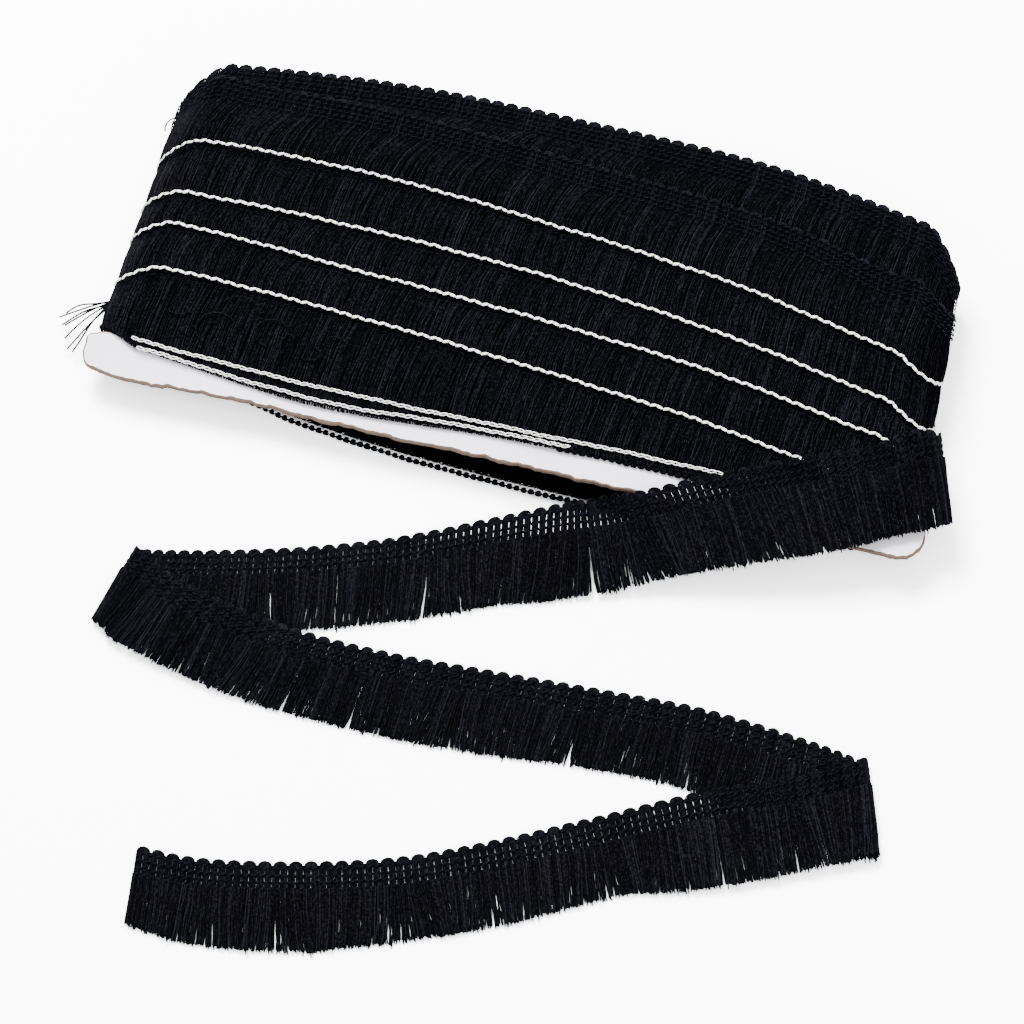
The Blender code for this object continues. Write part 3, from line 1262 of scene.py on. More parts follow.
    def band_threads(self, behind: int) -> bpy.types.Object:
        """Builds the threads that show of one turn, in front of the edge of the turn on it.

        Args:
            behind: The place of the turn behind in the turns.

        Returns:
            The piece.
        """
        form, random = self.form, self.shop.random
        count = int(form.loop_length / self.thread_pitch)
        start = (np.arange(count) + random.normal(0, 0.2, count)) * self.thread_pitch
        share = np.array(self.band_shares)
        lean = self.lean(form.turns[behind], start, self.band_lean)
        curl = self.curl * smooth_wave(random, start, self.curl_lengths)
        length = (
            start[:, None]
            + lean[:, None] * (1 - share) ** 2
            + curl[:, None] * np.sin(share * math.pi)
            + random.normal(0, self.shake, (count, len(share)))
        )
        off = (
            self.sunk
            + random.uniform(*self.depths, count)[:, None]
            + self.crown * np.sin(np.clip(share, 0, 1) * math.pi)
            + random.normal(0, 0.06, (count, len(share)))
        )
        off[:, -1] -= self.tip_drop
        across = np.broadcast_to(share, length.shape)
        points = form.band(behind, length, across, off)
        name = f"wound_threads_{form.turns[behind - 1].name}"
        return self.shop.threads(name, points, self.thread_radius, YARN.name, self.shades(count))

    def from_back(self, length: np.ndarray, is_top_turn: bool) -> np.ndarray:
        """Returns how far in front of the back edge a heading's scalloped edge runs.

        Args:
            length: Lengths round the loop.
            is_top_turn: Whether it is the last turn's heading, and not the one under it.
        """
        if not is_top_turn:
            return np.full_like(length, 0.3)
        x, angle = self.form.around(self.form.turns[-1], length)
        offset = smooth_table(self.top_turn_x, self.top_turn_from_back, x)
        return 0.3 + (offset - 0.3) * (1 + np.cos(angle)) / 2

    def top_point(self, length: np.ndarray, from_back: np.ndarray, off: np.ndarray) -> np.ndarray:
        """Returns places on the backmost band, by their distance from the back edge.

        Args:
            length: Lengths round the loop.
            from_back: Distances from the back edge in millimetres.
            off: How far off the surface.
        """
        form = self.form
        length, from_back, off = np.broadcast_arrays(length, from_back, off)
        last = len(form.turns) - 1
        start = form.edge(form.turns[last], length, form.turns[last].foot)
        end = form.edge(form.turns[last - 1], length, form.turns[last - 1].edge)
        across = from_back / np.linalg.norm(end - start, axis=-1)
        near = np.clip(1 - from_back / 3.0, 0, 1.4)
        return form.band(last, length, across, off - 1.1 * near**2)

    def bundle_places(self) -> tuple[np.ndarray, np.ndarray]:
        """Returns where the threads of the heading's bundles run, and each bundle's middle."""
        total = self.form.loop_length
        bundles = int(total / self.stitch_pitch / 2) * 2
        pitch = total / bundles
        step = (pitch - self.bundle_gap) / self.per_bundle
        inside = self.bundle_gap / 2 + step * (np.arange(self.per_bundle) + 0.5)
        starts = np.arange(bundles) * pitch
        places = (starts[:, None] + inside).reshape(-1)
        return places, np.repeat(starts + pitch / 2, self.per_bundle)

    def heading_threads(self, name: str, is_top_turn: bool) -> bpy.types.Object:
        """Builds the threads of a turn whose heading shows, from the heading to the chain.

        Args:
            name: The piece's name.
            is_top_turn: Whether it is the last turn, and not the one under it.

        Returns:
            The piece.
        """
        form, random = self.form, self.shop.random
        places, _ = self.bundle_places()
        count = len(places)
        last = form.turns[-1]
        edge = self.from_back(places, is_top_turn)
        lean = self.lean(last, places, self.top_lean)
        if is_top_turn:
            reach = np.linalg.norm(
                form.edge(last, places, last.foot)
                - form.edge(form.turns[-2], places, form.turns[-2].edge),
                axis=-1,
            )
            reach = reach + 0.8
            lift = self.top_turn_lift
        else:
            reach = np.maximum(self.from_back(places, True) + 3.0, self.heading_width + 1.5)
            lift = self.lower_turn_lift
        foot = edge + self.heading_width
        share = np.array(self.heading_shares)
        tight = np.array([2.0, 6.0])
        below = foot[:, None] + (reach - foot)[:, None] * share
        from_back = np.concatenate([edge[:, None] + tight, below], axis=1)
        sweep = np.concatenate([np.zeros(2), 1 - (1 - share) ** 2.2])
        loose = np.concatenate([np.zeros(2), share**0.7])
        curl = self.curl * smooth_wave(random, places, self.curl_lengths)
        along = (
            places[:, None]
            - lean[:, None] * sweep
            + curl[:, None] * np.sin(math.pi * sweep)
            + random.normal(0, self.shake, (count, len(sweep))) * loose
        )
        crown = self.crown * np.sin(math.pi * np.concatenate([np.zeros(2), share]))
        depth = random.uniform(*self.depths, count)[:, None]
        off = lift + self.sunk + crown + depth * loose
        off[:, -1] -= self.tip_drop if is_top_turn else 0.0
        points = self.top_point(along, from_back, off)
        return self.shop.threads(name, points, self.thread_radius, YARN.name, self.shades(count))

    def heading_scallops(self) -> bpy.types.Object:
        """Builds the bundles' turns along the scalloped edge of the last turn's heading.

        Returns:
            The piece.
        """
        total = self.form.loop_length
        units = int(total / self.stitch_pitch / 2)
        pitch = total / units
        centres = np.arange(units) * pitch
        arc = np.linspace(0, math.pi, 7)
        strands = []
        lift = self.top_turn_lift + self.sunk + 0.1
        for ply in range(self.per_bundle):
            side = (pitch / 2 - self.bundle_gap / 2) * (ply + 0.6) / self.per_bundle
            along = centres[:, None] - side * np.cos(arc)
            depth = 0.5 + self.scallop_depth * (ply + 0.6) / self.per_bundle
            edge = self.from_back(along, True)
            bulge = 0.3 * np.sin(arc) * (1 - ply / self.per_bundle)
            from_back = edge + 2.2 - depth * np.sin(arc)
            strands.append(self.top_point(along, from_back, lift + bulge))
        points = np.concatenate(strands)
        return self.shop.threads("heading_scallops", points, self.scallop_radius, YARN.name)

    def heading_stitches(self) -> bpy.types.Object:
        """Builds the rows of stitches of the two headings that show.

        Returns:
            The piece.
        """
        dash = self.shop.helper(Dash().build())
        lines = []
        form = self.form
        for is_top_turn, lift in ((False, self.lower_turn_lift), (True, self.top_turn_lift)):
            for number, row in enumerate(self.rows):
                step = self.stitch_pitch / 2
                length = np.arange(0, form.loop_length, step) + step * (number % 2)
                wave = 0.12 * smooth_wave(self.shop.random, length, (37.0, 15.0))
                edge = self.from_back(length, is_top_turn) + row + wave
                points = self.top_point(length, edge, np.full_like(length, lift + self.sunk + 0.5))
                points[:, 2] = np.maximum(points[:, 2], self.lowest)
                lines.append((points, form.outward(form.turns[-1], length)))
        # The stitches take the braid finish, lighter than the yarn as painted highlights on their
        # crossings.
        return self.shop.stitches(
            "heading_stitches", lines, dash, self.stitch_pitch, BRAID.name, uneven=0.12, closed=True
        )

    def edge_line(
        self,
        turn: Turn,
        forward: tuple[float, ...],
        lift: float,
        reach: tuple[float, float] | None = None,
    ) -> tuple[np.ndarray, np.ndarray]:
        """Returns a line along a turn's front edge, with its upward directions.

        Args:
            turn: The turn.
            forward: How far in front of the edge it runs, at evenly spaced places along it.
            lift: How far off the surface it runs.
            reach: Where it starts and stops round the loop, or nothing for the whole loop.

        Returns:
            The line's points, and the upward direction at each.
        """
        form = self.form
        start, stop = reach or (0.0, form.loop_length)
        length = np.arange(start, stop, self.line_step)
        wave = 0.2 * smooth_wave(self.shop.random, length, (44.0, 21.0))
        points = form.edge(turn, length, turn.edge)
        ups = form.outward(turn, length)
        points = points + ups * lift
        stations = np.linspace(start, stop, len(forward))
        points[:, 1] += wave - np.interp(length, stations, forward)
        points[:, 2] = np.maximum(points[:, 2], self.lowest)
        return points, ups

    def chain(self) -> bpy.types.Object:
        """Builds the white chain stitch along each turn's front edge.

        Returns:
            The piece.
        """
        front, fifth, *others, _ = self.form.turns
        tight = self.shop.helper(ChainLink().build())
        open_link = self.shop.helper(ChainLink(length=3.0, width=1.0, thread=0.2).build())
        arc = self.shop.helper(LoopArc().build())
        rings = [self.edge_line(turn, (0.3,), 0.35) for turn in others]
        open_rows = [
            self.edge_line(front, (0.4, -1.3, -1.5, -0.8), 0.75, self.front_chain),
            self.edge_line(fifth, (-0.6, -1.2, -1.2, 0.1), 0.45, self.fifth_chain),
        ]
        under = [self.edge_line(front, (1.0,), 0.8, self.under_rows)]
        pieces = [
            self.shop.stitches(
                "chain_stitch", lines, shape, pitch, CHAIN.name, tilt, 0.05, closed
            )
            for lines, shape, pitch, tilt, closed in (
                (rings, tight, 2.3, 19.0, True),
                (open_rows, open_link, 2.4, 9.0, False),
                (under, arc, self.stitch_pitch, 0.0, False),
            )
        ]
        return join(pieces, "chain_stitch")

    def loops(self) -> bpy.types.Object:
        """Builds the row of bent bundle ends in front of each chain.

        On top only the crowns of a row show in front of each chain. On the underside the row of
        the frontmost turn stands out as beads.

        Returns:
            The piece.
        """
        front, _, *others, _ = self.form.turns
        bead = self.shop.helper(LoopBead().build())
        crown = self.shop.helper(Dash(length=2.0, rise=0.3, slant=0.2, thread=0.2).build())
        # The crowns take the braid finish below: lighter than the yarn as painted highlights.
        crowns = [self.edge_line(turn, (2.3,), -0.95) for turn in others]
        beads = [
            self.edge_line(front, (-0.4, 0.2, 0.2), -0.9, self.bead_row),
            self.edge_line(front, (1.0,), 0.8, self.under_rows),
        ]
        pieces = [
            self.shop.stitches(
                "bundle_loops", lines, shape, self.stitch_pitch, finish, 0.0, 0.08, closed
            )
            for lines, shape, finish, closed in (
                (crowns, crown, BRAID.name, True),
                (beads, bead, YARN.name, False),
            )
        ]
        return join(pieces, "bundle_loops")

    def loose_threads(self) -> bpy.types.Object:
        """Builds the threads that have come loose.

        Returns:
            The piece.
        """
        random = self.shop.random
        strands = []
        for tip in self.loose_tips:
            root = np.array(self.loose_root) + random.uniform(-0.8, 0.8, 3)
            share = np.linspace(0, 1, self.loose_points)[:, None]
            line = root + (np.array(tip) - root) * share
            line[:, 2] += 1.6 * np.sin(share[:, 0] * math.pi)
            line += 0.5 * np.sin(share * random.uniform(3, 7) + random.uniform(0, 6, 3)) * share
            strands.append(line)
        for x, y, size in self.curls:
            turn = np.linspace(0, random.uniform(1.8, 4.2), self.loose_points)
            turn = turn + random.uniform(0, math.tau)
            stretch = random.uniform(0.35, 1.0, 2)
            at = x + size * stretch[0] * np.cos(turn)
            behind = y + size * stretch[1] * np.sin(turn)
            strands.append(np.stack([at, behind, self.surface(at, behind) + 0.35], -1))
        angle = np.linspace(-0.6, 3.9, self.loose_points)
        across, up = 3.6 * np.sin(angle), 2.2 * (1 - np.cos(angle))
        x, y, z = self.loop_root
        strands.append(np.stack([x - up, y + across, z - 0.2 * up], -1))
        shades = np.full(len(strands), self.loose_shade)
        return self.shop.threads(
            "loose_threads", np.stack(strands), self.loose_radius, YARN.name, shades
        )

    def surface(self, x: np.ndarray, y: np.ndarray) -> np.ndarray:
        """Returns the height of the winding's top over places on the card.

        Args:
            x: Places along the card.
            y: Places across it.
        """
        turns = self.form.turns
        edges = np.stack([self.form.front_y(turn, x) for turn in turns])
        heights = np.empty_like(x)
        for i in range(len(x)):
            heights[i] = np.interp(y[i], edges[:, i], [turn.edge for turn in turns])
        return heights

    def back_scallops(self) -> bpy.types.Object:
        """Builds the scalloped edges of the headings, stacked on the back face.

        Returns:
            The piece.
        """
        form = self.form
        arches = []
        turn = form.turns[-1]
        units = int(form.loop_length / self.stitch_pitch / 2)
        arc = np.linspace(0, math.pi, 5)
        for level, height in enumerate(self.back_levels):
            centres = (np.arange(units) + 0.37 * level) * form.loop_length / units
            for ply in range(self.back_plies):
                side = 2.35 - 0.75 * ply
                length = centres[:, None] - side * np.cos(arc)
                points = form.edge(turn, length, form.middle + height)
                under = points[..., 2] < form.middle
                scale = height / (turn.foot - form.middle)
                z = form.middle + (points[..., 2] - form.middle) * np.where(under, scale, 1.0)
                points[..., 2] = np.maximum(z, 0.45)
                reach = (1.9 - 0.6 * ply) * np.sin(arc)
                points[..., 1] += reach - 1.2 - 0.8 * (level == len(self.back_levels) - 1)
                arches.append(points)
        points = np.concatenate(arches)
        return self.shop.threads("back_scallops", points, self.back_radius, YARN.name)


# ---------------------------------------------------------------------------------------------
# The free end
# ---------------------------------------------------------------------------------------------

STRIP_ONE = (
    (140.8, -17.4, 12.0, 147.6, -46.6, 13.2),
    (139.9, -17.6, 17.6, 151.8, -49.5, 15.2),
    (123.2, -30.5, 22.2, 138.6, -57.0, 15.0),
    (105.0, -38.5, 21.6, 121.3, -67.0, 15.0),
    (86.8, -46.3, 18.4, 106.0, -73.6, 13.2),
    (68.6, -55.0, 17.2, 87.4, -80.6, 10.8),
    (50.6, -64.3, 15.5, 69.0, -87.0, 6.0),
    (38.0, -68.6, 12.5, 51.0, -95.0, 2.0),
    (26.0, -72.2, 9.5, 33.0, -102.5, 0.0),
    (7.4, -79.2, 4.4, 14.0, -109.5, 0.0),
    (-11.4, -87.7, 1.6, -4.0, -118.3, 0.0),
    (-29.8, -95.9, 0.0, -22.0, -126.3, 0.0),
    (-54.6, -105.6, 0.0, -47.5, -135.6, 0.0),
    (-80.0, -113.6, 0.0, -74.5, -145.0, 0.0),
    (-98.0, -118.4, 0.0, -97.5, -150.5, 0.0),
    (-106.2, -120.1, 0.0, -111.4, -150.3, 0.0),
)
STRIP_TWO = (
    (-106.2, -120.1, 2.2, -111.4, -150.3, 2.2),
    (-95.0, -126.6, 2.2, -103.5, -155.6, 2.2),
    (-82.0, -130.6, 2.2, -89.0, -159.3, 2.2),
    (-63.9, -134.4, 2.2, -69.0, -163.3, 1.2),
    (-42.8, -136.6, 1.8, -46.0, -165.5, 0.0),
    (-12.1, -135.8, 0.0, -13.5, -165.8, 0.0),
    (21.1, -133.5, 0.0, 19.5, -163.8, 0.0),
    (54.3, -131.2, 0.0, 53.0, -160.1, 0.0),
    (87.6, -129.4, 0.0, 86.5, -158.6, 0.0),
    (121.1, -131.5, 0.0, 121.5, -162.0, 0.0),
    (142.4, -134.5, 0.0, 153.2, -167.0, 0.0),
)
STRIP_THREE = (
    (142.4, -134.5, 2.2, 153.2, -167.0, 2.2),
    (123.8, -145.6, 2.2, 136.5, -176.0, 2.2),
    (94.3, -159.8, 2.2, 107.5, -189.9, 1.4),
    (65.4, -175.3, 0.0, 78.0, -200.9, 0.0),
    (36.9, -191.3, 0.0, 48.5, -218.0, 0.0),
    (7.9, -205.6, 0.0, 17.5, -232.5, 0.0),
    (-22.0, -215.4, 0.0, -14.0, -245.0, 0.0),
    (-53.0, -222.4, 0.0, -47.0, -251.1, 0.0),
    (-74.0, -223.4, 0.0, -69.5, -250.0, 0.0),
)


@dataclass
class TailLie:
    """How the free end lies: a surface given by a place along it and a distance from its edge."""

    form: Winding
    thickness: float = 1.6
    fold_radius: float = 1.1
    fold_steps: int = 6
    clearance: float = 0.8
    card_end: float = 146.0
    card_front: float = -67.0
    card_back: float = -48.5
    card_height: float = 14.8
    smoothing_steps: int = 6
    smoothed_above: float = 4.6
    row_step: float = 1.2
    reach: float = 34.0
    columns: int = 24

    def __post_init__(self) -> None:
        """Lays out the lines across the trim, and the surface through them."""
        edges, tips = [], []
        for number, strip in enumerate((STRIP_ONE, STRIP_TWO, STRIP_THREE)):
            if number:
                for edge, tip in self.fold(np.array(before[-1]), -1 if number == 1 else 1):
                    edges.append(edge)
                    tips.append(tip)
            before = strip
            table = np.array(strip)
            spans = np.linalg.norm(np.diff((table[:, :3] + table[:, 3:]) / 2, axis=0), axis=1)
            places = [0.0]
            for span, size in enumerate(spans):
                steps = max(int(size / self.row_step), 2)
                places.extend(span + (np.arange(steps) + 1) / steps)
            values = smooth_table(np.arange(len(table)), table, np.array(places))
            heights = np.array(
                [np.interp(places, np.arange(len(table)), table[:, c]) for c in (2, 5)]
            )
            values[:, 2] = heights[0] + self.thickness / 2
            values[:, 5] = heights[1] + self.thickness / 2
            edges.extend(values[:, :3])
            tips.extend(values[:, 3:])
        self.edges, self.tips = np.array(edges), np.array(tips)
        across = self.tips - self.edges
        self.widths = np.linalg.norm(across, axis=1)
        across = across / self.widths[:, None]
        self.distances = np.linspace(-2.0, self.reach, self.columns)
        grid = self.edges[:, None] + across[:, None] * self.distances[None, :, None]
        floor = self.held_up(grid[..., 0], grid[..., 1]) + self.thickness / 2
        z = np.maximum(grid[..., 2], floor)
        for _ in range(self.smoothing_steps):
            spread = z.copy()
            spread[1:-1] = (z[:-2] + z[2:] + 2 * z[1:-1]) / 4
            spread[:, 1:-1] = (spread[:, :-2] + spread[:, 2:] + 2 * spread[:, 1:-1]) / 4
            near = z > self.smoothed_above
            z = np.where(near, np.maximum(spread, floor), z)
        grid[..., 2] = z
        self.grid = grid
        middles = (self.edges + self.tips) / 2
        steps = np.linalg.norm(np.diff(middles, axis=0), axis=1)
        self.along = np.concatenate([[0.0], np.cumsum(np.maximum(steps, 1e-4))])
        by_row = np.gradient(grid, axis=0)
        by_column = np.gradient(grid, axis=1)
        self.normals = unit(np.cross(by_row, by_column))
        self.length = float(self.along[-1])

    def fold(self, ruling: np.ndarray, outward: int) -> Iterator[tuple[np.ndarray, np.ndarray]]:
        """Yields the lines of a fold: half a turn about a ruling, up onto the next layer.

        Args:
            ruling: The ruling that the trim folds about.
            outward: Which way along X the fold bulges.
        """
        edge, tip = ruling[:3], ruling[3:]
        run = tip - edge
        sideways = unit(np.array([-run[1], run[0], 0.0])) * outward
        for i in range(1, self.fold_steps):
            angle = math.pi * i / self.fold_steps
            shift = sideways * self.fold_radius * math.sin(angle)
            shift[2] = self.thickness / 2 + self.fold_radius * (1 - math.cos(angle))
            yield edge + shift, tip + shift

    def held_up(self, x: np.ndarray, y: np.ndarray) -> np.ndarray:
        """Returns the height that the trim keeps above, over the winding, the card and the table.

        Args:
            x: Places along the card.
            y: Places across it.
        """
        form = self.form
        heights = np.zeros_like(x)
        right_end = form.turns[0].right_end
        on_card = (np.abs(x) < self.card_end) & (y > self.card_front) & (y < self.card_back)
        heights = np.where(on_card, self.card_height, heights)
        past = np.maximum(x - right_end, form.left_end - x) + form.end_radius
        share = np.sqrt(np.maximum(1 - (np.maximum(past, 0) / form.end_radius) ** 2, 0))
        for reach in (-2.5, 0.0, 2.5):
            for lower, upper in zip(form.turns, form.turns[1:]):
                start, end = form.front_y(lower, x), form.front_y(upper, x)
                inside = (y + reach >= start) & (y + reach <= end) & (x < right_end)
                part = (y + reach - start) / np.maximum(end - start, 1e-6)
                top = lower.edge + (upper.foot - lower.edge) * np.clip(part, 0, 1)
                top = form.middle + (top - form.middle) * share + self.clearance
                heights = np.where(inside, np.maximum(heights, top), heights)
        return heights

    def point(self, along: np.ndarray, distance: np.ndarray, off: np.ndarray) -> np.ndarray:
        """Returns places on the free end.

        Args:
            along: Places along it.
            distance: Distances from the scalloped edge.
            off: How far off its middle.

        Returns:
            The points.
        """
        along, distance, off = np.broadcast_arrays(along, distance, off)
        row = np.interp(along, self.along, np.arange(len(self.along)))
        column = np.interp(distance, self.distances, np.arange(self.columns))
        low_row = np.clip(row.astype(int), 0, len(self.along) - 2)
        low_column = np.clip(column.astype(int), 0, self.columns - 2)
        a, b = (row - low_row)[..., None], (column - low_column)[..., None]
        total = 0.0
        normal = 0.0
        for i, wa in ((0, 1 - a), (1, a)):
            for j, wb in ((0, 1 - b), (1, b)):
                total = total + self.grid[low_row + i, low_column + j] * wa * wb
                normal = normal + self.normals[low_row + i, low_column + j] * wa * wb
        over = distance - self.distances[-1]
        run = unit(self.grid[low_row, -1] - self.grid[low_row, -2])
        total = total + run * np.maximum(over, 0)[..., None]
        result = total + unit(normal) * off[..., None]
        result[..., 2] = np.maximum(result[..., 2], 0.25)
        return result

    def width(self, along: np.ndarray) -> np.ndarray:
        """Returns the trim's width at places along it.

        Args:
            along: Places along it.
        """
        return np.interp(along, self.along, self.widths)


@dataclass
class FreeEnd:
    """The free end's heading and fringe."""

    shop: Workshop
    lie: TailLie
    column: float = 2.5
    per_column: int = 5
    heading: float = 10.2
    scallop: float = 1.6
    slit: float = 0.14
    rows: tuple[float, ...] = (2.4, 4.9, 7.3, 9.6)
    thread_radius: float = 0.29
    fringe_step: float = 0.42
    bundle_radius: float = 0.31
    fringe_root: float = 9.4
    layers: tuple[float, ...] = (0.5, 0.0, -0.5)

    def build(self) -> list[bpy.types.Object]:
        """Builds the pieces of the free end.

        Returns:
            The ground of the heading, its bundles, its stitches and the fringe.
        """
        layers = [self.fringe(layer) for layer in range(len(self.layers))]
        return [self.ground(), self.bundles(), self.stitches(), *layers]

    @property
    def columns(self) -> int:
        """Returns how many bundles cross the free end, an even number."""
        return int(self.lie.length / self.column / 2) * 2

    def ground(self) -> bpy.types.Object:
        """Builds the heading's ground: a thin sheet with slits between its bundles.

        Returns:
            The piece.
        """
        pitch = self.lie.length / self.columns
        along = np.sort(
            np.concatenate(
                [
                    np.arange(self.columns) * pitch + self.slit / 2,
                    (np.arange(self.columns) + 1) * pitch - self.slit / 2,
                ]
            )
        )
        cross = []
        for low, high in zip(self.rows, self.rows[1:]):
            cross += [low + 0.45, high - 0.45]
        cross = np.array([1.2, *cross, self.heading + 0.8])
        points = self.lie.point(along[:, None], cross, np.zeros((1, 1)))
        keep = np.ones((len(along) - 1, len(cross) - 1), bool)
        keep[1::2, 1::2] = False
        obj = mesh_object(
            "heading_ground",
            points.reshape(-1, 3),
            grid_faces(len(along), len(cross), keep),
            self.shop.finishes[CORE.name],
        )
        solid = obj.modifiers.new("thickness", "SOLIDIFY")
        solid.thickness = 0.22 * MM
        solid.offset = 0.0
        return plain(obj)

    def bundles(self) -> bpy.types.Object:
        """Builds the bundles of the heading, bent round in pairs at its scalloped edge.

        Returns:
            The piece.
        """
        random = self.shop.random
        units = self.columns // 2
        pitch = self.lie.length / units
        centres = (np.arange(units) + 0.5) * pitch
        legs = np.array([self.heading + 0.9, 8.5, 7.3, 6.1, 4.9, 3.7, 2.4])
        arc = np.linspace(0, math.pi, 7)[1:-1]
        strands = []
        half_slit = self.slit / 2
        step = (self.column - self.slit) / self.per_column
        for ply in range(self.per_column):
            offset = half_slit + step * (ply + 0.5)
            rise = self.scallop * offset / self.column
            left_side = np.full_like(legs, -0.98 * offset)
            arch_side = -offset * np.cos(arc)
            arch_distance = 1.7 - (rise + 0.45) * np.sin(arc)
            sides = np.concatenate([left_side, arch_side, -left_side[::-1]])
            distances = np.concatenate([legs, arch_distance, legs[::-1]])
            weave = 0.16 * np.sin(distances * math.tau / 2.45 + ply * 1.3)
            off = np.where(distances > 2.3, weave, 0.0)
            along = centres[:, None] + sides + random.normal(0, 0.03, (units, len(sides)))
            strands.append(self.lie.point(along, distances, off))
        points = np.concatenate(strands)
        return self.shop.threads("heading_bundles", points, self.bundle_radius, YARN.name)

    def stitches(self) -> bpy.types.Object:
        """Builds the rows of stitches on both faces of the heading.

        Returns:
            The piece.
        """
        dash = self.shop.helper(Dash(length=2.0, rise=0.25, slant=0.5, thread=0.24).build())
        lines = []
        pitch = self.lie.length / self.columns
        for face in (1, -1):
            for number, row in enumerate(self.rows):
                along = (np.arange(self.columns) + 0.5 * (number % 2)) * pitch
                wave = 0.12 * smooth_wave(self.shop.random, along, (33.0, 14.0))
                off = np.full_like(along, 0.38 * face)
                points = self.lie.point(along, row + wave, off)
                points[:, 2] = np.maximum(points[:, 2], 0.55)
                ups = unit(points - self.lie.point(along, row + wave, np.zeros_like(along)))
                lines.append((points, ups))
        # The stitches take the braid finish, lighter than the yarn as painted highlights on their
        # crossings.
        return self.shop.stitches(
            "tail_stitches", lines, dash, self.column, BRAID.name, uneven=0.1
        )

    def fringe(self, layer: int) -> bpy.types.Object:
        """Builds one layer of the cut fringe.

        Args:
            layer: The layer, from 0 on the first face.

        Returns:
            The piece.
        """
        random, lie = self.shop.random, self.lie
        count = int(lie.length / self.fringe_step)
        start = (np.arange(count) + 0.2 + 0.3 * layer) * lie.length / count
        start = start + random.normal(0, 0.07, count)
        lean = self.sways(start)
        share = np.linspace(0, 1, 7)
        reach = lie.width(start) + 0.5 * smooth_wave(random, start, (90.0, 31.0, 13.0))
        reach = reach + random.normal(0, 0.4, count)
        ragged = random.random(count)
        reach = np.where(ragged < 0.03, reach - random.uniform(0.8, 3.5, count), reach)
        reach = np.where(ragged > 0.985, reach + random.uniform(0.5, 1.4, count), reach)
        distance = self.fringe_root + (reach[:, None] - self.fringe_root) * share
        phase = random.random(count)[:, None] * math.tau
        wave = 0.3 * np.sin(share * 6.0 + phase)
        along = (
            start[:, None]
            + lean[:, None] * share ** 1.5
            + wave * share
            + random.normal(0, 0.05, (count, len(share)))
        )
        off = self.layers[layer] + random.uniform(-0.16, 0.16, count)[:, None] + 0.1 * wave
        points = lie.point(along, distance, np.broadcast_to(off, along.shape))
        shades = np.clip(random.normal(0.06, 0.12, count), 0, 1)
        # A few fringe threads are painted lighter as painted highlights.
        shades[random.random(count) < 0.08] = 0.35
        return self.shop.threads(
            f"fringe_threads_{layer}", points, self.thread_radius, YARN.name, shades
        )

    def sways(self, start: np.ndarray) -> np.ndarray:
        """Returns how far sideways the fringe's ends lie, the same in each layer.

        The fringe sways slowly one way and the other, and parts here and there in a narrow gap.

        Args:
            start: Where the threads leave the heading.
        """
        random = np.random.default_rng(self.shop.seed + 1)
        sway = 2.3 * smooth_wave(random, start, (57.0, 33.0, 21.0)) + 0.6
        groups = np.cumsum(random.uniform(5.0, 26.0, 80))
        shifts = random.normal(0, 0.7, 81)
        part = shifts[np.searchsorted(groups, start)]
        small = np.cumsum(random.uniform(1.0, 3.4, 600))
        tuft = np.searchsorted(small, start)
        edges = np.concatenate([[0.0], small])
        centre = (edges[tuft] + edges[tuft + 1]) / 2
        return sway + part + (centre - start) * random.uniform(0.02, 0.2, 601)[tuft]


# ---------------------------------------------------------------------------------------------
# The card
# ---------------------------------------------------------------------------------------------


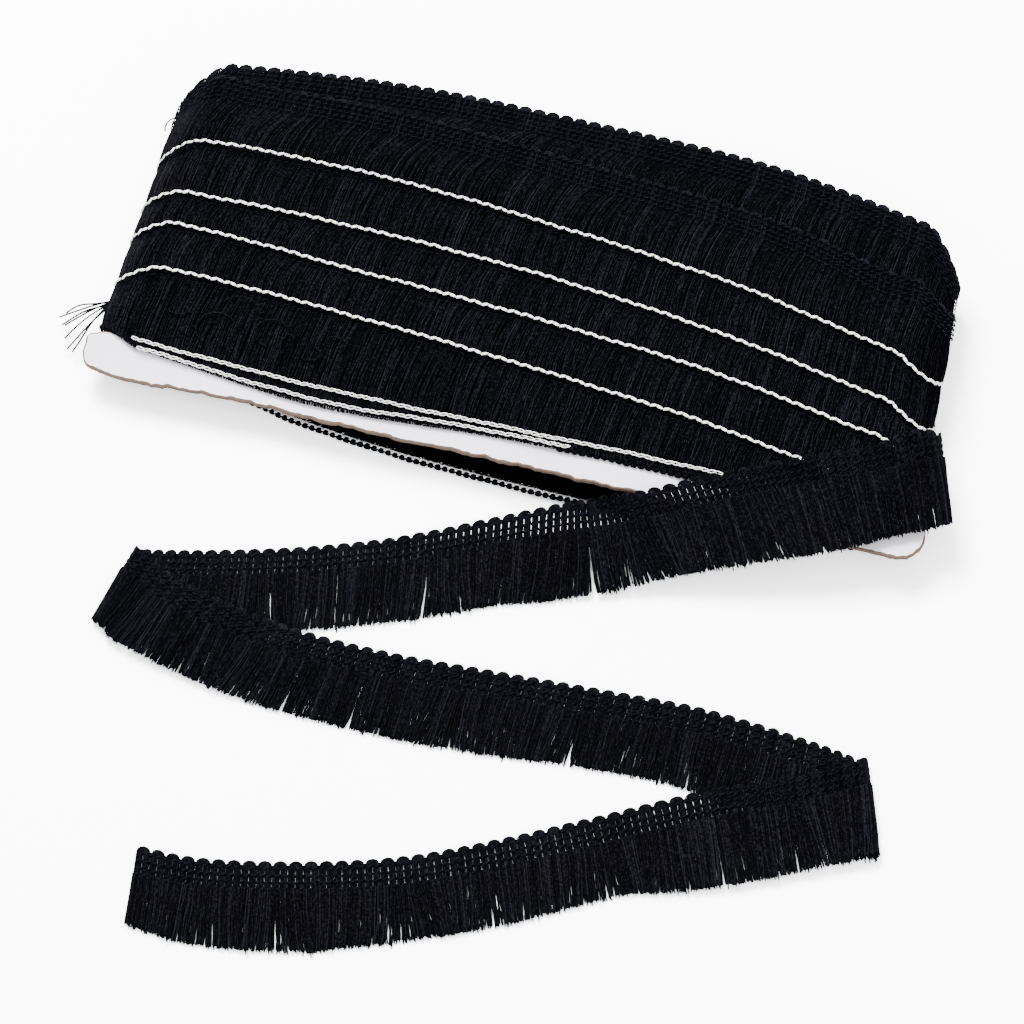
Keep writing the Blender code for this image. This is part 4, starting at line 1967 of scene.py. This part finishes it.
@dataclass
class Card:
    """The chipboard card: its outline, its thickness and its torn edge."""

    shop: Workshop
    bottom: float = 11.2
    top: float = 12.8
    cell: float = 4.0
    half_length: float = 142.0
    first_row: float = -61.5
    last_row: float = 56.0
    shown_to: float = -46.0
    hidden_step: int = 3
    rim_step: float = 1.5
    rim_width: float = 0.7
    straight_from: float = -50.0
    outline: tuple[tuple[float, float], ...] = (
        (-145.4, -55.0), (-144.0, -61.0), (-138.5, -64.0), (-120.0, -64.6),
        (-86.0, -62.9), (-40.0, -63.5), (20.0, -62.9), (76.0, -64.0),
        (124.0, -64.8), (137.0, -65.2), (142.6, -62.8), (144.6, -57.0),
        (143.2, -50.6), (139.0, -48.5), (131.4, -48.5), (131.4, 32.0),
        (118.0, 49.0), (-118.0, 58.0), (-131.4, 44.0), (-131.4, -48.5),
        (-140.0, -48.5), (-144.6, -50.2),
    )

    def rim(self) -> np.ndarray:
        """Returns the outline, closely spaced and slightly ragged."""
        table = np.array(self.outline)
        rounded = []
        count = len(table)
        for i in range(count):
            before, start = table[i - 1], table[i]
            end, after = table[(i + 1) % count], table[(i + 2) % count]
            steps = max(int(np.linalg.norm(end - start) / self.rim_step), 1)
            for k in range(steps):
                share = k / steps
                if max(start[1], end[1]) < self.straight_from:
                    rounded.append(spline(before, start, end, after, share))
                else:
                    rounded.append(start + (end - start) * share)
        line = np.array(rounded)
        run = np.roll(line, -1, 0) - np.roll(line, 1, 0)
        out = unit(np.stack([run[:, 1], -run[:, 0]], -1))
        ragged = self.shop.random.normal(0, 0.14, len(line))
        places = np.arange(len(line)) * self.rim_step
        ragged = ragged + 0.35 * smooth_wave(self.shop.random, places, (31.0, 12.0))
        return line + out * ragged[:, None]

    def build(self) -> bpy.types.Object:
        """Builds the card.

        Returns:
            The piece.
        """
        rim = self.rim()
        count = len(rim)
        run = np.roll(rim, -1, 0) - np.roll(rim, 1, 0)
        out = unit(np.stack([run[:, 1], -run[:, 0]], -1))
        inner = rim - out * self.rim_width
        xs = np.arange(-self.half_length, self.half_length, self.cell)
        ys = np.arange(self.first_row, self.last_row, self.cell)
        inside = [
            (x, y)
            for number, x in enumerate(xs)
            for y in ys
            if y < self.shown_to or number % self.hidden_step == 0
        ]
        loose = [place for place in inside if self.holds(inner, place) > self.cell * 0.3]
        flat = [Vector(p) for p in rim] + [Vector(p) for p in inner] + [Vector(p) for p in loose]
        ring = [(i, (i + 1) % count) for i in range(count)]
        inner_ring = [(count + a, count + b) for a, b in ring]
        points, _, faces, origin, _, _ = delaunay_2d_cdt(
            flat, ring + inner_ring, [list(range(count))], 1, 1e-4
        )
        places = np.array([tuple(p) for p in points])
        rise = 0.35 * smooth_wave(self.shop.random, places[:, 0], (83.0, 47.0))
        free = np.clip((-48.0 - places[:, 1]) / 12, 0, 1)
        lift = rise * free
        distance = self.distances(rim, places)
        top = np.column_stack([places, self.top + lift - 0.18 * (distance < 0.3)])
        low = np.column_stack([places, self.bottom + lift])
        total = len(places)
        faces = [list(f) for f in faces]
        mesh_faces = faces + [[total + v for v in reversed(f)] for f in faces]
        order = self.boundary(faces)
        for a, b in order:
            mesh_faces.append([b, a, total + a, total + b])
        obj = mesh_object(
            "card_board",
            np.concatenate([top, low]),
            mesh_faces,
            self.shop.finishes[BOARD.name],
        )
        store(obj.data, "rim", np.concatenate([distance, np.minimum(distance, 0.0)]))
        outwards(obj)
        obj.data.polygons.foreach_set("use_smooth", np.zeros(len(obj.data.polygons), bool))
        return obj

    @staticmethod
    def boundary(faces: list[list[int]]) -> list[tuple[int, int]]:
        """Returns the edges that only one face has.

        Args:
            faces: The faces.
        """
        seen: dict[tuple[int, int], int] = {}
        for face in faces:
            for a, b in zip(face, face[1:] + face[:1]):
                seen[(a, b)] = 1
        return [(a, b) for a, b in seen if (b, a) not in seen]

    @staticmethod
    def distances(rim: np.ndarray, places: np.ndarray) -> np.ndarray:
        """Returns each place's distance from the outline, in millimetres.

        Args:
            rim: The outline.
            places: The places.
        """
        gaps = np.linalg.norm(places[:, None] - rim[None], axis=-1)
        return gaps.min(1)

    @staticmethod
    def holds(ring: np.ndarray, place: tuple[float, float]) -> float:
        """Returns how deep inside a ring a place is, or -1 outside it.

        Args:
            ring: The ring.
            place: The place.
        """
        x, y = place
        ends = np.roll(ring, -1, 0)
        crosses = (ring[:, 1] > y) != (ends[:, 1] > y)
        height = np.where(np.abs(ends[:, 1] - ring[:, 1]) < 1e-9, 1e-9, ends[:, 1] - ring[:, 1])
        at = ring[:, 0] + (y - ring[:, 1]) / height * (ends[:, 0] - ring[:, 0])
        if np.count_nonzero(crosses & (at > x)) % 2 == 0:
            return -1.0
        return float(np.linalg.norm(ring - np.array(place), axis=1).min())


# ---------------------------------------------------------------------------------------------
# Setting
# ---------------------------------------------------------------------------------------------


@dataclass
class Setting:
    """The table, the lights and the camera."""

    shop: Workshop
    azimuth: float = 15.0
    elevation: float = 60.0
    distance: float = 1.3
    target: Point = (0.0092, -0.074, 0.0)
    lens: float = 137.1
    lights: tuple[tuple[str, Point, float, float], ...] = (
        ("key light", (-0.55, 0.6, 1.25), 0.7, 84.0),
        ("fill light", (0.7, -0.9, 1.1), 1.2, 14.0),
    )
    sky_strength: float = 1.95
    table_size: float = 3000.0

    def build(self) -> None:
        """Builds the setting."""
        self.floor()
        for name, place, size, power in self.lights:
            self.light(name, place, size, power)
        self.sky()
        self.camera()

    def floor(self) -> None:
        """Builds the table top."""
        size = self.table_size
        corners = np.array([(-size, -size, 0), (size, -size, 0), (size, size, 0), (-size, size, 0)])
        floor = mesh_object("table_top", corners, [(0, 1, 2, 3)], self.shop.finishes[TABLE.name])
        floor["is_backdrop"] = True

    def light(self, name: str, place: Point, size: float, power: float) -> None:
        """Adds a soft light that faces the object.

        Args:
            name: Its name.
            place: Where it is, in metres.
            size: Its side in metres.
            power: Its power in watts.
        """
        data = bpy.data.lights.new(name, "AREA")
        data.shape = "SQUARE"
        data.size = size
        data.energy = power
        lamp = bpy.data.objects.new(name, data)
        lamp.location = place
        aim = Vector(self.target) - Vector(place)
        lamp.rotation_euler = aim.to_track_quat("-Z", "Y").to_euler()
        bpy.context.scene.collection.objects.link(lamp)

    def sky(self) -> None:
        """Gives the room its pale even light."""
        world = bpy.data.worlds.new("studio")
        world.use_nodes = True
        background = world.node_tree.nodes["Background"]
        background.inputs["Color"].default_value = (0.96, 0.97, 1.0, 1.0)
        background.inputs["Strength"].default_value = self.sky_strength
        bpy.context.scene.world = world

    def camera(self) -> None:
        """Adds the camera."""
        data = bpy.data.cameras.new("camera")
        data.lens = self.lens
        data.sensor_width = 36.0
        data.clip_end = 20.0
        camera = bpy.data.objects.new("camera", data)
        azimuth, elevation = math.radians(self.azimuth), math.radians(self.elevation)
        back = Vector(
            (
                math.sin(azimuth) * math.cos(elevation),
                -math.cos(azimuth) * math.cos(elevation),
                math.sin(elevation),
            )
        )
        camera.location = Vector(self.target) + back * self.distance
        camera.rotation_euler = (-back).to_track_quat("-Z", "Y").to_euler()
        bpy.context.scene.collection.objects.link(camera)
        bpy.context.scene.camera = camera


def fit(piece: bpy.types.Object, slot: Slot, *nodes: str) -> bpy.types.Object:
    """Fixes a piece to the object's one body, and hides the CAD nodes it stands for.

    Args:
        piece: The piece.
        slot: Its material slot. Not used.
        nodes: The CAD nodes.

    Returns:
        The piece.
    """
    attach(piece, BODY)
    if nodes:
        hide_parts(*nodes)
    piece.data.calc_loop_triangles()
    LOG.info("%s: %d triangles", piece.name, len(piece.data.loop_triangles))
    return piece


def main(frame: dict, cad_box: tuple[Vector, Vector]) -> None:
    """Builds everything in order.

    Args:
        cad_box: The CAD model's box. Not used.
    """
    logging.basicConfig(level=logging.INFO, format="%(message)s")
    shop = Workshop()
    Setting(shop).build()
    fit(Card(shop).build(), Slot.CARD, "card")
    wound = WoundTrim(shop)
    core, *others = wound.build(frame["nodes"]["wound_trim"])
    fit(core, Slot.YARN, "wound_trim")
    for piece in others:
        is_braid = "heading" in piece.name or "scallop" in piece.name
        slot = Slot.BRAID if is_braid else Slot.YARN
        fit(piece, Slot.CHAIN if piece.name == "chain_stitch" else slot)
    tail = FreeEnd(shop, TailLie(wound.form))
    ground, bundles, stitches, *fringes = tail.build()
    fit(ground, Slot.BRAID, "tail_heading")
    fit(bundles, Slot.BRAID)
    fit(stitches, Slot.BRAID)
    fit(fringes[0], Slot.YARN, "tail_fringe")
    for layer in fringes[1:]:
        fit(layer, Slot.YARN)
    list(fringes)
    shop.clear_helpers()


if __name__ == "__main__":
    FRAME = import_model()
    main(FRAME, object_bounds())
